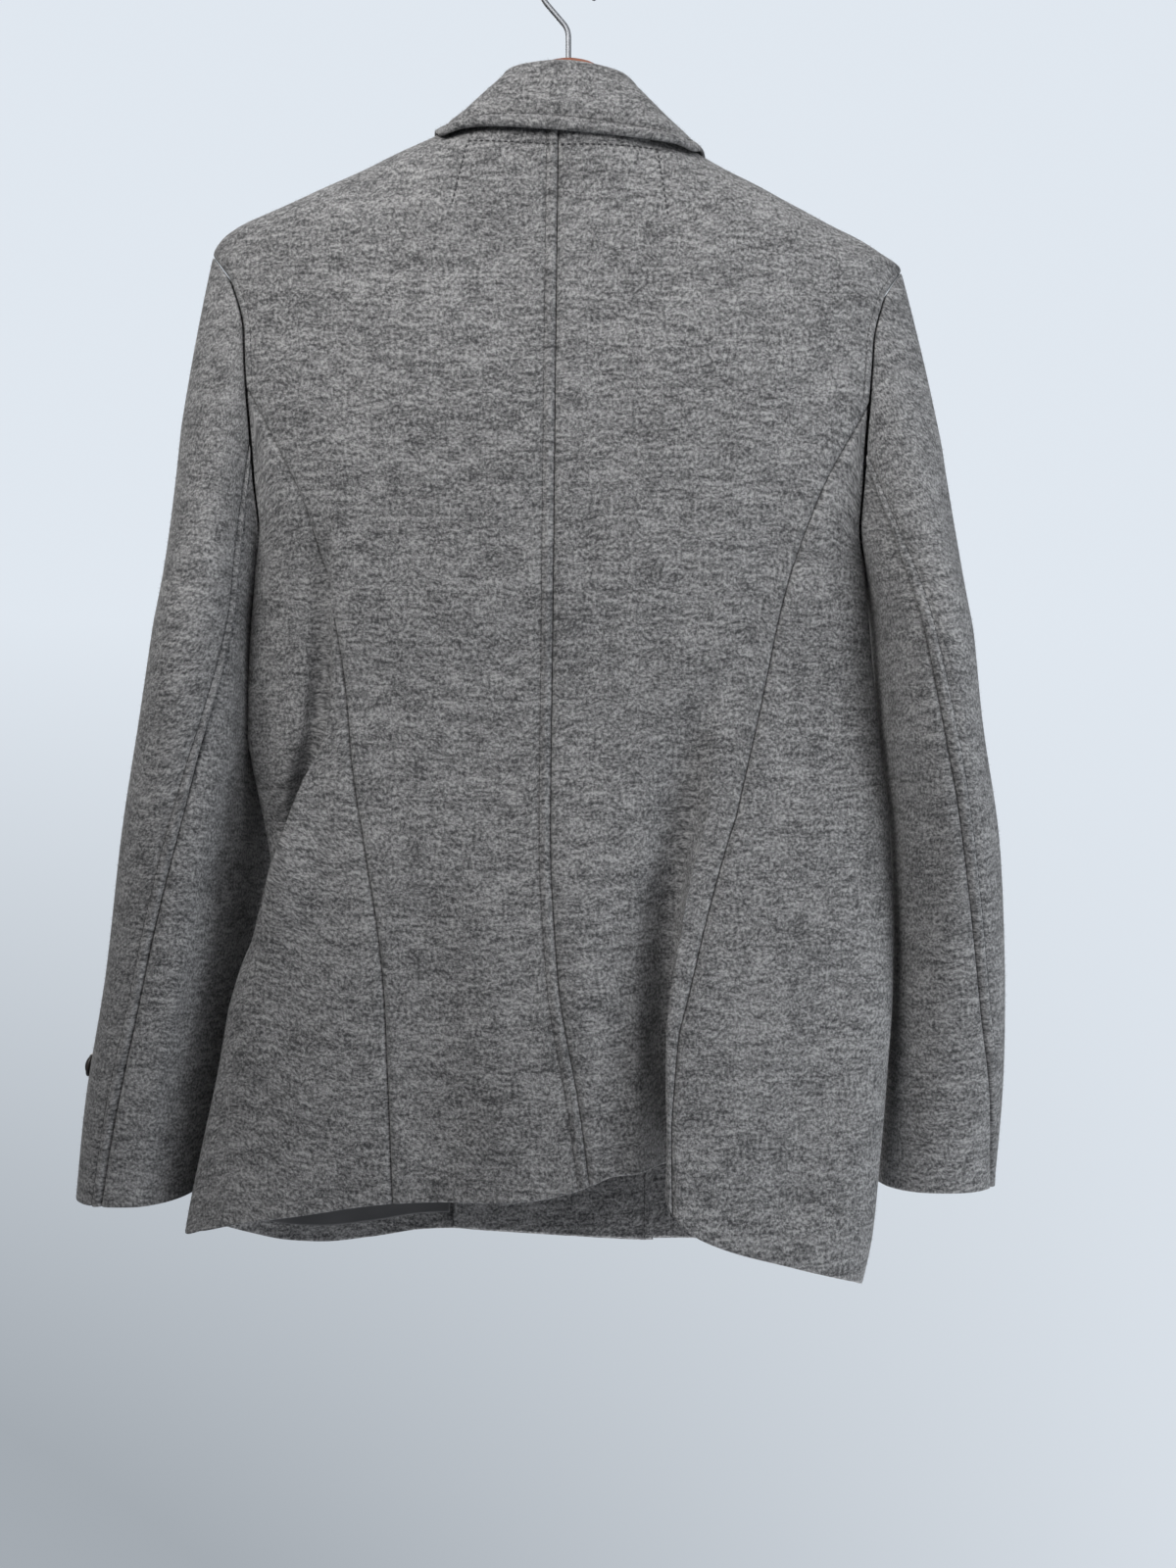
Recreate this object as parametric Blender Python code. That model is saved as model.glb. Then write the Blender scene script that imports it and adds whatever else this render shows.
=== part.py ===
"""Military coat, hip length and fitted, hung by its shoulders from a wooden hanger.

Metres, +Z up, the coat's front to -Y and the wearer's left to +X. The origin is where the
hook bears on its rod. Every piece of cloth is a thin closed wall made from one surface.
"""
import math

import bmesh
import bpy
import numpy as np

CLOTH = 0.0022          # wool wall
LINING = 0.0012         # lining wall
SEAM = 0.0003           # gap between pieces sewn to each other
LAYER = 0.0004          # gap between layers that lie on each other
OVERLAP_LEFT = -0.060   # x of the left front's edge
OVERLAP_RIGHT = 0.074   # x of the right front's edge
FRONT_RISE = 2 * (CLOTH + LAYER)   # how far the right front lies over the left one
LINING_RISE = 0.006     # lining's lower edge above the hem
LINING_GAP = 0.0010     # lining behind the cloth
FACING_RISE = 0.0012    # facing's edges inside the front's edges
NECK_GAP = 0.0012       # fronts' neck edge below the collar
FRONT_TOP = -0.185      # top edge of the lapped part of each front
FRONT_COLUMNS = (6, 5)  # grid columns from side to facing and from facing to front edge
UNDERARM = -0.385       # height of both underarm points
SHOULDER = {"left": -0.1872, "right": -0.1971}   # height of the shoulder tips
NECK_POINT = {"left": -0.1065, "right": -0.1179}
NECK_HALF = 0.070       # half width of the neck at the shoulder seams

WOOL_GREY = (0.21, 0.21, 0.215, 1.0)
LINING_GREY = (0.30, 0.30, 0.31, 1.0)
BUTTON_BROWN = (0.045, 0.040, 0.038, 1.0)
WOOD_BROWN = (0.30, 0.11, 0.06, 1.0)
STEEL = (0.62, 0.62, 0.63, 1.0)


def pchip(x, y, t):
    """Smooth curve through the points of a table, with no overshoot."""
    step = np.diff(x)
    slope = np.diff(y) / step
    grade = np.zeros_like(y)
    both = slope[:-1] * slope[1:]
    total = slope[:-1] + slope[1:]
    grade[1:-1] = np.where(both > 0, 2 * both / np.where(both > 0, total, 1), 0)
    grade[0], grade[-1] = slope[0], slope[-1]
    t = np.clip(t, x[0], x[-1])
    i = np.clip(np.searchsorted(x, t) - 1, 0, len(step) - 1)
    u = (t - x[i]) / step[i]
    start = (1 + 2 * u) * (1 - u) ** 2 * y[i] + u * (1 - u) ** 2 * step[i] * grade[i]
    end = u * u * (3 - 2 * u) * y[i + 1] + u * u * (u - 1) * step[i] * grade[i + 1]
    return start + end


class Table:
    """Rows of named columns, read by the first column."""

    def __init__(self, names, rows):
        self.names = names.split()
        self.rows = np.array(sorted(rows), float)

    def __call__(self, name, t):
        return pchip(self.rows[:, 0], self.rows[:, self.names.index(name)], np.asarray(t, float))


WIDTH = Table("height left right", [
    (-0.0900, 0.0400, 0.0280),
    (-0.1065, 0.0700, 0.0515),
    (-0.1179, 0.0936, 0.0700),
    (-0.1283, 0.1167, 0.0896),
    (-0.1440, 0.1508, 0.1192),
    (-0.1640, 0.1959, 0.1569),
    (-0.1695, 0.2077, 0.1673),
    (-0.1780, 0.2195, 0.1835),
    (-0.1872, 0.2245, 0.1980),
    (-0.1971, 0.2248, 0.2102),
    (-0.2300, 0.2240, 0.2115),
    (-0.2800, 0.2200, 0.2075),
    (-0.3300, 0.2110, 0.1990),
    (-0.3850, 0.1980, 0.1870),
    (-0.4700, 0.1960, 0.1940),
    (-0.5500, 0.1970, 0.2025),
    (-0.6200, 0.2050, 0.2048),
    (-0.7000, 0.2195, 0.1998),
    (-0.8000, 0.2400, 0.1895),
    (-0.8500, 0.2460, 0.1790),
])

DEPTH = Table("height back front back_round front_round", [
    (-0.090, 0.047, 0.042, 1.80, 2.2),
    (-0.118, 0.052, 0.046, 1.80, 2.3),
    (-0.190, 0.056, 0.052, 2.05, 2.6),
    (-0.290, 0.062, 0.058, 2.6, 3.0),
    (-0.385, 0.060, 0.060, 2.6, 3.2),
    (-0.470, 0.052, 0.056, 2.6, 3.2),
    (-0.620, 0.062, 0.058, 2.9, 3.4),
    (-0.700, 0.069, 0.060, 3.2, 3.5),
    (-0.800, 0.077, 0.062, 3.6, 3.6),
])

CENTRE_BACK = Table("height x", [
    (-0.118, 0.0055), (-0.400, 0.0085), (-0.550, 0.0102),
    (-0.640, 0.0054), (-0.710, -0.0064), (-0.765, -0.0142),
])

PRINCESS_LEFT = Table("height x", [
    (-0.240, 0.2180), (-0.2800, 0.1965), (-0.3184, 0.1763), (-0.3565, 0.1590), (-0.3970, 0.1471),
    (-0.4595, 0.1346), (-0.5327, 0.1275), (-0.6353, 0.1127), (-0.7137, 0.1087), (-0.775, 0.1060),
])

PRINCESS_RIGHT = Table("height x", [
    (-0.250, -0.2040), (-0.2867, -0.1859), (-0.3452, -0.1541), (-0.4137, -0.1314),
    (-0.4553, -0.1225), (-0.5387, -0.1029), (-0.6205, -0.0785), (-0.6912, -0.0655),
    (-0.7265, -0.0637), (-0.785, -0.0666),
])

# Share of the half width at the armhole seam, from the underarm up to the shoulder tip.
ARMHOLE = Table("rise back front", [
    (0.00, 1.000, 1.000), (0.04, 0.982, 0.981), (0.14, 0.947, 0.944), (0.30, 0.919, 0.914),
    (0.50, 0.901, 0.896), (0.72, 0.897, 0.894), (0.88, 0.931, 0.928), (1.00, 1.000, 1.000),
])

NECK_LEFT = Table("x back front", [
    (0.000, -0.1180, -0.1850), (0.030, -0.1158, -0.1780), (0.050, -0.1130, -0.1590),
    (0.063, -0.1096, -0.1345), (0.070, -0.1065, -0.1065),
])

NECK_RIGHT = Table("x back front", [
    (0.000, -0.1180, -0.1850), (0.030, -0.1185, -0.1800), (0.050, -0.1186, -0.1645),
    (0.063, -0.1183, -0.1415), (0.070, -0.1179, -0.1179),
])

HEM_BACK = Table("x height", [
    (-0.205, -0.8330), (-0.186, -0.8310), (-0.175, -0.8240), (-0.120, -0.8055), (-0.080, -0.7895),
    (-0.066, -0.7800), (-0.0575, -0.7660), (-0.053, -0.7570), (-0.030, -0.7570), (-0.0142, -0.7620),
    (0.0054, -0.7680), (0.030, -0.7715), (0.106, -0.7750), (0.160, -0.7830), (0.200, -0.7900),
    (0.242, -0.8020),
])

HEM_FRONT = Table("x height", [
    (-0.205, -0.8330), (-0.186, -0.8310), (-0.120, -0.8225), (0.080, -0.8220), (0.170, -0.8200),
    (0.242, -0.8020),
])

# Inner edges of the front facings, which run up to the neck seam.
FACING = Table("height left right", [
    (-0.830, 0.077, -0.0670), (-0.300, 0.077, -0.0670), (-0.210, 0.062, -0.0665),
    (-0.180, 0.053, -0.0655), (-0.160, 0.047, -0.0580), (-0.100, 0.042, -0.0460),
])
LINING_STEP = 0.003     # lining's edge beside the facing

# Long folds of the back: each starts at nothing at its top and is full at the hem.
FOLDS = [
    dict(top_x=-0.085, hem_x=-0.056, toward_left=0.066, toward_right=0.015,
         depth=-0.052, top=-0.50),
    dict(top_x=-0.085, hem_x=-0.083, toward_left=0.014, toward_right=0.055,
         depth=0.010, top=-0.56),
    dict(top_x=0.060, hem_x=0.035, toward_left=0.055, toward_right=0.050,
         depth=0.007, top=-0.55),
]
HEM_LEVEL = -0.780
FOLD_LEAN = 0.008       # how far the right skirt's fold leans over the valley


def angle_of(x, z, front):
    """Angle round the body, from centre back towards the wearer's left, of a place x across."""
    half = np.where(x >= 0, WIDTH("left", z), WIDTH("right", z))
    power = DEPTH("front_round" if front else "back_round", z) / 2
    turn = np.degrees(np.arcsin(np.clip(np.abs(x) / half, 0, 1) ** power)) * np.sign(x)
    return 180 - turn if front else turn


def bump(u, left, right):
    """Soft rise from 0 to 1 and back, its two flanks of different widths."""
    flank = np.where(u >= 0, u / left, -u / right)
    return np.where(flank < 1, 0.5 + 0.5 * np.cos(np.pi * np.minimum(flank, 1)), 0)


def body(angle, z, rise=0.0):
    """Outer face of the coat's body; rise lifts the lapped part of the right front."""
    angle, z = np.broadcast_arrays(np.asarray(angle, float), np.asarray(z, float))
    s, c = np.sin(np.radians(angle)), np.cos(np.radians(angle))
    back = c >= 0
    power = 2 / np.where(back, DEPTH("back_round", z), DEPTH("front_round", z))
    half = np.where(s >= 0, WIDTH("left", z), WIDTH("right", z))
    deep = np.where(back, DEPTH("back", z), DEPTH("front", z))
    x = np.sign(s) * half * np.abs(s) ** power
    y = np.sign(c) * deep * np.abs(c) ** power
    for fold in FOLDS:
        grown = np.clip((fold["top"] - z) / (fold["top"] - HEM_LEVEL), 0, 1.1)
        middle = fold["top_x"] + (fold["hem_x"] - fold["top_x"]) * np.minimum(grown, 1)
        rising = grown ** 1.3 * bump(x - middle, fold["toward_left"], fold["toward_right"])
        y = y + np.where(back, fold["depth"] * rising, 0)
    grown = np.clip((-0.56 - z) / 0.2, 0, 1)
    shift = np.where(back, FOLD_LEAN * grown * bump(x + 0.078, 0.018, 0.040), 0)
    lapped = np.clip((x + 0.115) / 0.045, 0, 1)
    y = y - np.where(back, 0, rise * lapped * lapped * (3 - 2 * lapped))
    return np.stack([x + shift, y, z], axis=-1)


def outward(surface, angle, z):
    """Unit normals of a surface of the body."""
    d_angle = surface(angle + 0.4, z) - surface(angle - 0.4, z)
    d_z = surface(angle, z + 0.001) - surface(angle, z - 0.001)
    normal = np.cross(d_z, d_angle)
    return normal / np.linalg.norm(normal, axis=-1, keepdims=True)


def seam_angle(table, z):
    return angle_of(table("x", z), z, False)


def armhole_angle(side, which, z):
    """Angle of the armhole seam at a height between the underarm and the shoulder tip."""
    tip = SHOULDER[side]
    share = ARMHOLE(which, (np.asarray(z, float) - UNDERARM) / (tip - UNDERARM))
    power = DEPTH(which + "_round", z) / 2
    turn = np.degrees(np.arcsin(np.clip(share, 0, 1) ** power))
    turn = turn if which == "back" else 180 - turn
    return turn if side == "left" else -turn


def neck_height(side, which, angle):
    """Height of the neck seam at an angle round the body."""
    table = NECK_LEFT if side == "left" else NECK_RIGHT
    low = np.full(np.shape(angle), -0.195)
    high = np.full(np.shape(angle), -0.090)
    for _ in range(40):
        middle = (low + high) / 2
        x = np.abs(body(angle, middle)[..., 0])
        above = middle > table(which, x)
        high = np.where(above, middle, high)
        low = np.where(above, low, middle)
    return (low + high) / 2


def hem_height(angle, z):
    place = body(angle, z)
    back = np.cos(np.radians(angle)) >= 0
    return np.where(back, HEM_BACK("height", place[..., 0]), HEM_FRONT("height", place[..., 0]))


def hem_at(edge):
    """Height where an edge meets the hem."""
    z = -0.79
    for _ in range(12):
        z = float(hem_height(np.array(edge(z)), z))
    return z


def crossing(seam, side):
    """Height where a princess seam meets the armhole."""
    low, high = UNDERARM, -0.24
    for _ in range(40):
        middle = (low + high) / 2
        if abs(seam_angle(seam, middle)) < abs(armhole_angle(side, "back", middle)):
            low = middle
        else:
            high = middle
    return (low + high) / 2


def run(start, end, count, ease="even"):
    """Heights from start to end, closer together at the end that the seam turns at."""
    t = np.linspace(0, 1, count + 1)
    t = {"even": t, "start": 1 - np.cos(t * np.pi / 2), "end": np.sin(t * np.pi / 2),
         "both": (1 - np.cos(t * np.pi)) / 2}[ease]
    return start + (end - start) * t


def chain(*parts):
    return np.concatenate([parts[0]] + [p[1:] for p in parts[1:]])


def spread(edges, z_in, z_out, columns, high=None):
    """Angles and heights of a piece's grid from edge to edge, hem row first."""
    shares = [np.linspace(0, 1, n + 1)[None, :] for n in columns]
    u = np.concatenate([(i + share[:, 1 if i else 0:]) / len(columns)
                        for i, share in enumerate(shares)], axis=1)
    k = np.linspace(0, 1, len(z_in))[:, None]
    level = z_in[:, None] * (1 - u) + z_out[:, None] * u

    def angles(z):
        place = u * len(columns)
        result = 0
        for i, edge in enumerate(edges):
            result = result + edge(z) * np.clip(1 - np.abs(place - i), 0, 1)
        return result

    z = level
    for _ in range(8):
        angle = angles(z)
        low_fix = hem_height(angle[0], z[0]) - level[0]
        top_fix = high(angle[-1]) - level[-1] if high else 0 * level[-1]
        low_fix[[0, -1]] = top_fix[[0, -1]] = 0
        z = level + low_fix * (1 - k) ** 2 + top_fix * k ** 2
    return angles(z), z


def pull_in(points, **sides):
    """Draws the named edges of a grid back by the distances given."""
    points = points.copy()
    for side, distance in sides.items():
        edge, inner = {"first": ((slice(None), 0), (slice(None), 1)),
                       "last": ((slice(None), -1), (slice(None), -2)),
                       "low": ((0, slice(None)), (1, slice(None))),
                       "top": ((-1, slice(None)), (-2, slice(None)))}[side]
        way = points[inner] - points[edge]
        size = np.linalg.norm(way, axis=-1, keepdims=True)
        points[edge] = points[edge] + way / size * distance
    return points


def material(name, colour, rough, metal=0.0):
    made = bpy.data.materials.new(name)
    made.use_nodes = True
    shader = made.node_tree.nodes["Principled BSDF"]
    shader.inputs["Base Color"].default_value = colour
    shader.inputs["Roughness"].default_value = rough
    shader.inputs["Metallic"].default_value = metal
    made.diffuse_color = colour
    return made


def solid(name, points, faces, look):
    mesh = bpy.data.meshes.new(name)
    mesh.from_pydata([tuple(map(float, p)) for p in points], [], faces)
    shape = bmesh.new()
    shape.from_mesh(mesh)
    bmesh.ops.triangulate(shape, faces=shape.faces[:], quad_method="BEAUTY")
    bmesh.ops.recalc_face_normals(shape, faces=shape.faces[:])
    shape.to_mesh(mesh)
    shape.free()
    made = bpy.data.objects.new(name, mesh)
    bpy.context.scene.collection.objects.link(made)
    mesh.materials.append(look)
    return made


def wall(name, outer, normals, thick, look):
    """Closed thin wall between a grid of points and the same grid moved in."""
    rows, columns = outer.shape[:2]
    inner = outer - normals * thick
    points = np.concatenate([outer.reshape(-1, 3), inner.reshape(-1, 3)])
    base = rows * columns

    def at(r, c, layer):
        return layer * base + r * columns + c

    faces = []
    for r in range(rows - 1):
        for c in range(columns - 1):
            quad = [at(r, c, 0), at(r, c + 1, 0), at(r + 1, c + 1, 0), at(r + 1, c, 0)]
            faces.append(quad)
            faces.append([i + base for i in reversed(quad)])
    ring = [(0, c) for c in range(columns - 1)]
    ring += [(r, columns - 1) for r in range(rows - 1)]
    ring += [(rows - 1, c) for c in range(columns - 1, 0, -1)]
    ring += [(r, 0) for r in range(rows - 1, 0, -1)]
    for a, b in zip(ring, ring[1:] + ring[:1]):
        faces.append([at(*b, 0), at(*a, 0), at(*a, 1), at(*b, 1)])
    return solid(name, points, faces, look)


def round_armhole(side, points, normals, z, column, lowest):
    """Turns the rim's normals at the armhole half way towards the armhole's own radius."""
    tip = SHOULDER[side]
    middle = (tip + UNDERARM) / 2
    rows = np.where((z[:, column] > lowest - 1e-6) & (z[:, column] < tip + 1e-6))[0]
    for r in rows:
        y, h = points[r, column, 1], points[r, column, 2] - middle
        radius = np.array([0.0, y / 0.032 ** 2, h / ((tip - UNDERARM) / 2) ** 2])
        normal = normals[r, column] + radius / np.linalg.norm(radius)
        normals[r, column] = normal / np.linalg.norm(normal)
    return normals


def body_grid(side, edges, heights, columns, high=None, rise=0.0, hole=None, lowest=UNDERARM):
    """Points and normals of one piece of the body's outer face."""
    def surface(angle, z):
        return body(angle, z, rise)

    angle, z = spread(edges, heights[0], heights[1], columns, high)
    normals = outward(surface, angle, z)
    points = surface(angle, z)
    if hole is not None:
        normals = round_armhole(side, points, normals, z, hole, lowest)
    return points, normals


def armhole_heights(side, which):
    """Heights of the armhole's points, shared by the body's pieces and the sleeve."""
    tip = SHOULDER[side]
    if which == "front":
        return run(UNDERARM, tip, 8, "both")
    cross = crossing(PRINCESS_LEFT if side == "left" else PRINCESS_RIGHT, side)
    return chain(run(UNDERARM, cross, 4, "start"), run(cross, tip, 4, "end"))


def make_body(looks):
    wool, satin = looks["wool"], looks["lining"]
    half = SEAM / 2
    centre = lambda z: seam_angle(CENTRE_BACK, z)
    for side, sign, princess, columns in (("left", 1, PRINCESS_LEFT, 8),
                                          ("right", -1, PRINCESS_RIGHT, 13)):
        tip, neck = SHOULDER[side], NECK_POINT[side]
        cross = crossing(princess, side)
        flank = lambda z, s=sign: np.full(np.shape(z), 90.0 * s)

        def seam(z, p=princess):
            return seam_angle(p, z)

        def hole(which, z, s=side, t=tip, f=flank):
            place = armhole_angle(s, which, np.clip(z, UNDERARM, t))
            return np.where((z > UNDERARM) & (z < t), place, f(z))

        def outer_back(z, c=cross, h=hole, p=seam):
            return np.where(z < c, p(z), h("back", z))

        def outer_side(z, h=hole):
            return h("back", z)

        def outer_front(z, h=hole):
            return h("front", z)

        top_back = lambda a, s=side: neck_height(s, "back", a)
        centre_top = float(top_back(np.array(centre(-0.118))))
        holes = armhole_heights(side, "back")
        below = run(hem_at(seam), UNDERARM, 9)
        z_out = chain(below, holes, run(tip, neck, 5))
        z_in = chain(run(hem_at(centre), UNDERARM, 9), holes, run(tip, centre_top, 5))
        points, normals = body_grid(side, (centre, outer_back), (z_in, z_out), (columns,),
                                    top_back, hole=-1, lowest=cross + 0.001)
        wall("back_" + side, pull_in(points, first=half, last=half), normals, CLOTH, wool)

        low_side = chain(run(hem_at(flank), UNDERARM, 9), holes[:5])
        points, normals = body_grid(side, (seam, outer_side), (chain(below, holes[:5]), low_side),
                                    (6,), hole=-1)
        normals[-1] = normals[-1, 0]
        points[-1] = points[-2] * 0.2 + points[-1] * 0.8
        normals[-1] = normals[-2] * 0.2 + normals[-1] * 0.8
        normals[-1] /= np.linalg.norm(normals[-1], axis=-1, keepdims=True)
        wall("side_back_" + side, pull_in(points, first=half, last=half), normals, CLOTH, wool)

        edge_x = OVERLAP_LEFT if side == "left" else OVERLAP_RIGHT
        over = 0.0 if side == "left" else FRONT_RISE
        turn = 0.0 if side == "left" else -360.0
        front_edge = lambda z, x=edge_x, t=turn: angle_of(np.full(np.shape(z), x), z, True) + t
        face_edge = lambda z, s=side, t=turn: angle_of(FACING(s, z), z, True) + t

        def top_front(a, s=side):
            past = np.sin(np.radians(a)) * (1 if s == "left" else -1) <= 0
            return np.where(past, FRONT_TOP, neck_height(s, "front", a))

        fronts = armhole_heights(side, "front")
        z_flank = chain(run(hem_at(flank), UNDERARM, 9), fronts, run(tip, neck, 5))
        z_edge = chain(run(hem_at(front_edge), UNDERARM, 9), run(UNDERARM, -0.245, 8),
                       run(-0.245, FRONT_TOP, 5))
        points, normals = body_grid(side, (outer_front, face_edge, front_edge), (z_flank, z_edge),
                                    FRONT_COLUMNS, top_front, over, 0)
        wall("front_" + side, pull_in(points, first=half, top=NECK_GAP), normals, CLOTH, wool)

        turned = FRONT_COLUMNS[0]
        face = points[:, turned:] - normals[:, turned:] * (CLOTH + LAYER)
        face = pull_in(face, last=FACING_RISE, low=FACING_RISE, top=NECK_GAP + FACING_RISE)
        wall("facing_" + side, face, normals[:, turned:], CLOTH, wool)
        line = points[:, :turned + 1] - normals[:, :turned + 1] * (CLOTH + LINING_GAP)
        line = pull_in(line, first=0.002, last=0.002, low=LINING_RISE, top=NECK_GAP + 0.001)
        wall("lining_" + side, line, normals[:, :turned + 1], LINING, satin)


SLEEVE_LEFT = Table("height x y half_width half_depth back_seam front_seam", [
    (-0.420, 0.2299, 0.004, 0.0266, 0.070, 152, -100),
    (-0.480, 0.2345, 0.003, 0.0315, 0.069, 126, -108),
    (-0.560, 0.2423, -0.002, 0.0378, 0.066, 97, -118),
    (-0.640, 0.2520, -0.008, 0.0388, 0.061, 84, -128),
    (-0.710, 0.2655, -0.014, 0.0390, 0.055, 79, -138),
    (-0.783, 0.2772, -0.020, 0.0365, 0.049, 72, -146),
])

SLEEVE_RIGHT = Table("height x y half_width half_depth back_seam front_seam", [
    (-0.420, 0.2230, -0.004, 0.0300, 0.070, 108, -112),
    (-0.480, 0.2280, -0.006, 0.0308, 0.069, 93, -120),
    (-0.560, 0.2390, -0.012, 0.0330, 0.066, 88, -130),
    (-0.640, 0.2420, -0.020, 0.0350, 0.061, 76, -140),
    (-0.710, 0.2408, -0.028, 0.0377, 0.056, 58, -150),
    (-0.777, 0.2365, -0.034, 0.0380, 0.050, 34, -160),
])

SLEEVE_ROWS = (0.56, 0.68, 0.79, 0.89, 1.0)   # cuff-ward places, as shares of bicep to cuff
CAP_ROWS = (0.0, 0.07, 0.19, 0.36, 0.57, 0.78, 1.0)   # shares of armhole to bicep
CAP_SWELL = 0.0045      # how far the sleeve head stands out from a straight line
BACK_PITCH = {"left": 3, "right": 3}   # armhole point, up from the underarm, of the back seam
FRONT_PITCH = 3


def sleeve_ring(table, sign, z, turn):
    """Point of the sleeve's tube at a height; turn 0 is outward and 90 is to the back."""
    c, s = np.cos(np.radians(turn)), np.sin(np.radians(turn))
    power = 2 / 2.3
    x = table("x", z) + table("half_width", z) * np.sign(c) * np.abs(c) ** power
    y = table("y", z) + table("half_depth", z) * np.sign(s) * np.abs(s) ** power
    return np.stack([sign * x, y, np.broadcast_to(z, x.shape)], axis=-1)


def make_sleeve(side, looks):
    """Upper and under sleeve from one tube whose first ring is the armhole."""
    sign = 1 if side == "left" else -1
    table = SLEEVE_LEFT if side == "left" else SLEEVE_RIGHT
    backs, fronts = armhole_heights(side, "back"), armhole_heights(side, "front")
    loop = [body(armhole_angle(side, "back", z), z) for z in backs[::-1]]
    loop += [body(armhole_angle(side, "front", z), z) for z in fronts[1:]]
    loop = np.array(loop)
    count = len(loop)
    seam_b = len(backs) - 1 - BACK_PITCH[side]
    seam_f = len(backs) - 1 + FRONT_PITCH
    gone = np.concatenate([[0], np.cumsum(np.linalg.norm(np.diff(loop, axis=0), axis=1))])

    def turns(z):
        """Turn of every column at a height, set by where the two seams run."""
        back, front = table("back_seam", z), table("front_seam", z)
        under = (gone - gone[seam_b]) / (gone[seam_f] - gone[seam_b])
        turn = back + under * (front + 360 - back)
        first = gone[:seam_b + 1] / gone[seam_b]
        turn[:seam_b + 1] = back * first
        last = (gone[seam_f:] - gone[seam_f]) / (gone[-1] - gone[seam_f])
        turn[seam_f:] = front + 360 - front * last
        return turn

    top, cuff = table.rows[-1, 0], table.rows[0, 0]
    head = sleeve_ring(table, sign, top, turns(top))
    middle = head.mean(axis=0)
    away = head - middle
    away /= np.linalg.norm(away, axis=1, keepdims=True)
    rows = []
    for share in CAP_ROWS:
        swell = CAP_SWELL * 4 * share * (1 - share) * (0.4 + 0.6 * np.cos(np.radians(turns(top))) ** 2)
        outer_half = np.clip(np.cos(np.radians(turns(top))) + 0.4, 0, 1)
        rows.append(loop * (1 - share) + head * share + away * (swell * outer_half)[:, None])
    for share in (0.12, 0.26, 0.41) + SLEEVE_ROWS:
        z = top + (cuff - top) * share
        rows.append(sleeve_ring(table, sign, z, turns(z)))
    tube = np.array(rows)
    along = np.gradient(tube, axis=0)
    round_it = np.empty_like(tube)
    closed = tube[:, :-1]
    step = np.roll(closed, -1, axis=1) - np.roll(closed, 1, axis=1)
    round_it[:, :-1] = step
    round_it[:, -1] = step[:, 0]
    normals = np.cross(along, round_it) * sign
    normals /= np.linalg.norm(normals, axis=-1, keepdims=True)
    mid = (SHOULDER[side] + UNDERARM) / 2
    for c in range(count):
        y, h = loop[c, 1], loop[c, 2] - mid
        radius = np.array([0.0, y / 0.032 ** 2, h / ((SHOULDER[side] - UNDERARM) / 2) ** 2])
        normal = normals[0, c] + radius / np.linalg.norm(radius)
        normals[0, c] = normal / np.linalg.norm(normal)
    lead = tube[1] - tube[0]
    tube[0] = tube[0] + lead / np.linalg.norm(lead, axis=1, keepdims=True) * SEAM
    under = slice(seam_b, seam_f + 1)
    wall("sleeve_under_" + side, pull_in(tube[:, under], first=SEAM / 2, last=SEAM / 2), normals[:, under],
         CLOTH, looks["wool"])
    upper = list(range(seam_f, count - 1)) + list(range(0, seam_b + 1))
    wall("sleeve_upper_" + side, pull_in(tube[:, upper], first=SEAM / 2, last=SEAM / 2), normals[:, upper],
         CLOTH, looks["wool"])


COLLAR = Table("station roll_x roll_y roll_z edge_x edge_y edge_z", [
    (-176, -0.003, -0.062, -0.160, -0.026, -0.0745, -0.236),
    (-135, -0.036, -0.046, -0.112, -0.082, -0.0640, -0.182),
    (-112, -0.043, -0.024, -0.096, -0.091, -0.0540, -0.152),
    (-90, -0.0440, 0.001, -0.0905, -0.0870, -0.0050, -0.1218),
    (-68, -0.0400, 0.022, -0.0868, -0.0800, 0.0340, -0.1295),
    (-45, -0.030, 0.037, -0.0828, -0.0660, 0.0500, -0.1275),
    (0, 0.004, 0.0465, -0.0797, 0.0040, 0.0635, -0.1262),
    (45, 0.032, 0.037, -0.0802, 0.0655, 0.0500, -0.1200),
    (68, 0.0390, 0.022, -0.0825, 0.0790, 0.0380, -0.1205),
    (90, 0.0420, 0.001, -0.0850, 0.0840, -0.0050, -0.1125),
    (112, 0.043, -0.024, -0.086, 0.091, -0.0540, -0.139),
    (135, 0.038, -0.046, -0.105, 0.083, -0.0640, -0.176),
    (176, 0.005, -0.062, -0.160, 0.030, -0.0745, -0.236),
])
COLLAR_STATIONS = 28
COLLAR_CLEAR = CLOTH + 0.0029   # collar's outer face off the body's outer face
FOLD_RADIUS = 0.0050    # outer radius of the collar's folded top


def neck_seam(station):
    """Point of the neck seam at a station round the neck."""
    side = "left" if station >= 0 else "right"
    sign = 1 if side == "left" else -1
    which = "back" if abs(station) <= 90 else "front"
    table = NECK_LEFT if side == "left" else NECK_RIGHT
    across = NECK_HALF * np.sin(np.linspace(0, np.pi / 2, 60))
    z = table(which, across)
    line = body(angle_of(across * sign, z, which == "front"), z)
    gone = np.concatenate([[0], np.cumsum(np.linalg.norm(np.diff(line, axis=0), axis=1))])
    share = abs(station) / 90 if which == "back" else (180 - abs(station)) / 90
    return np.array([np.interp(share * gone[-1], gone, line[:, i]) for i in range(3)])


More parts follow.
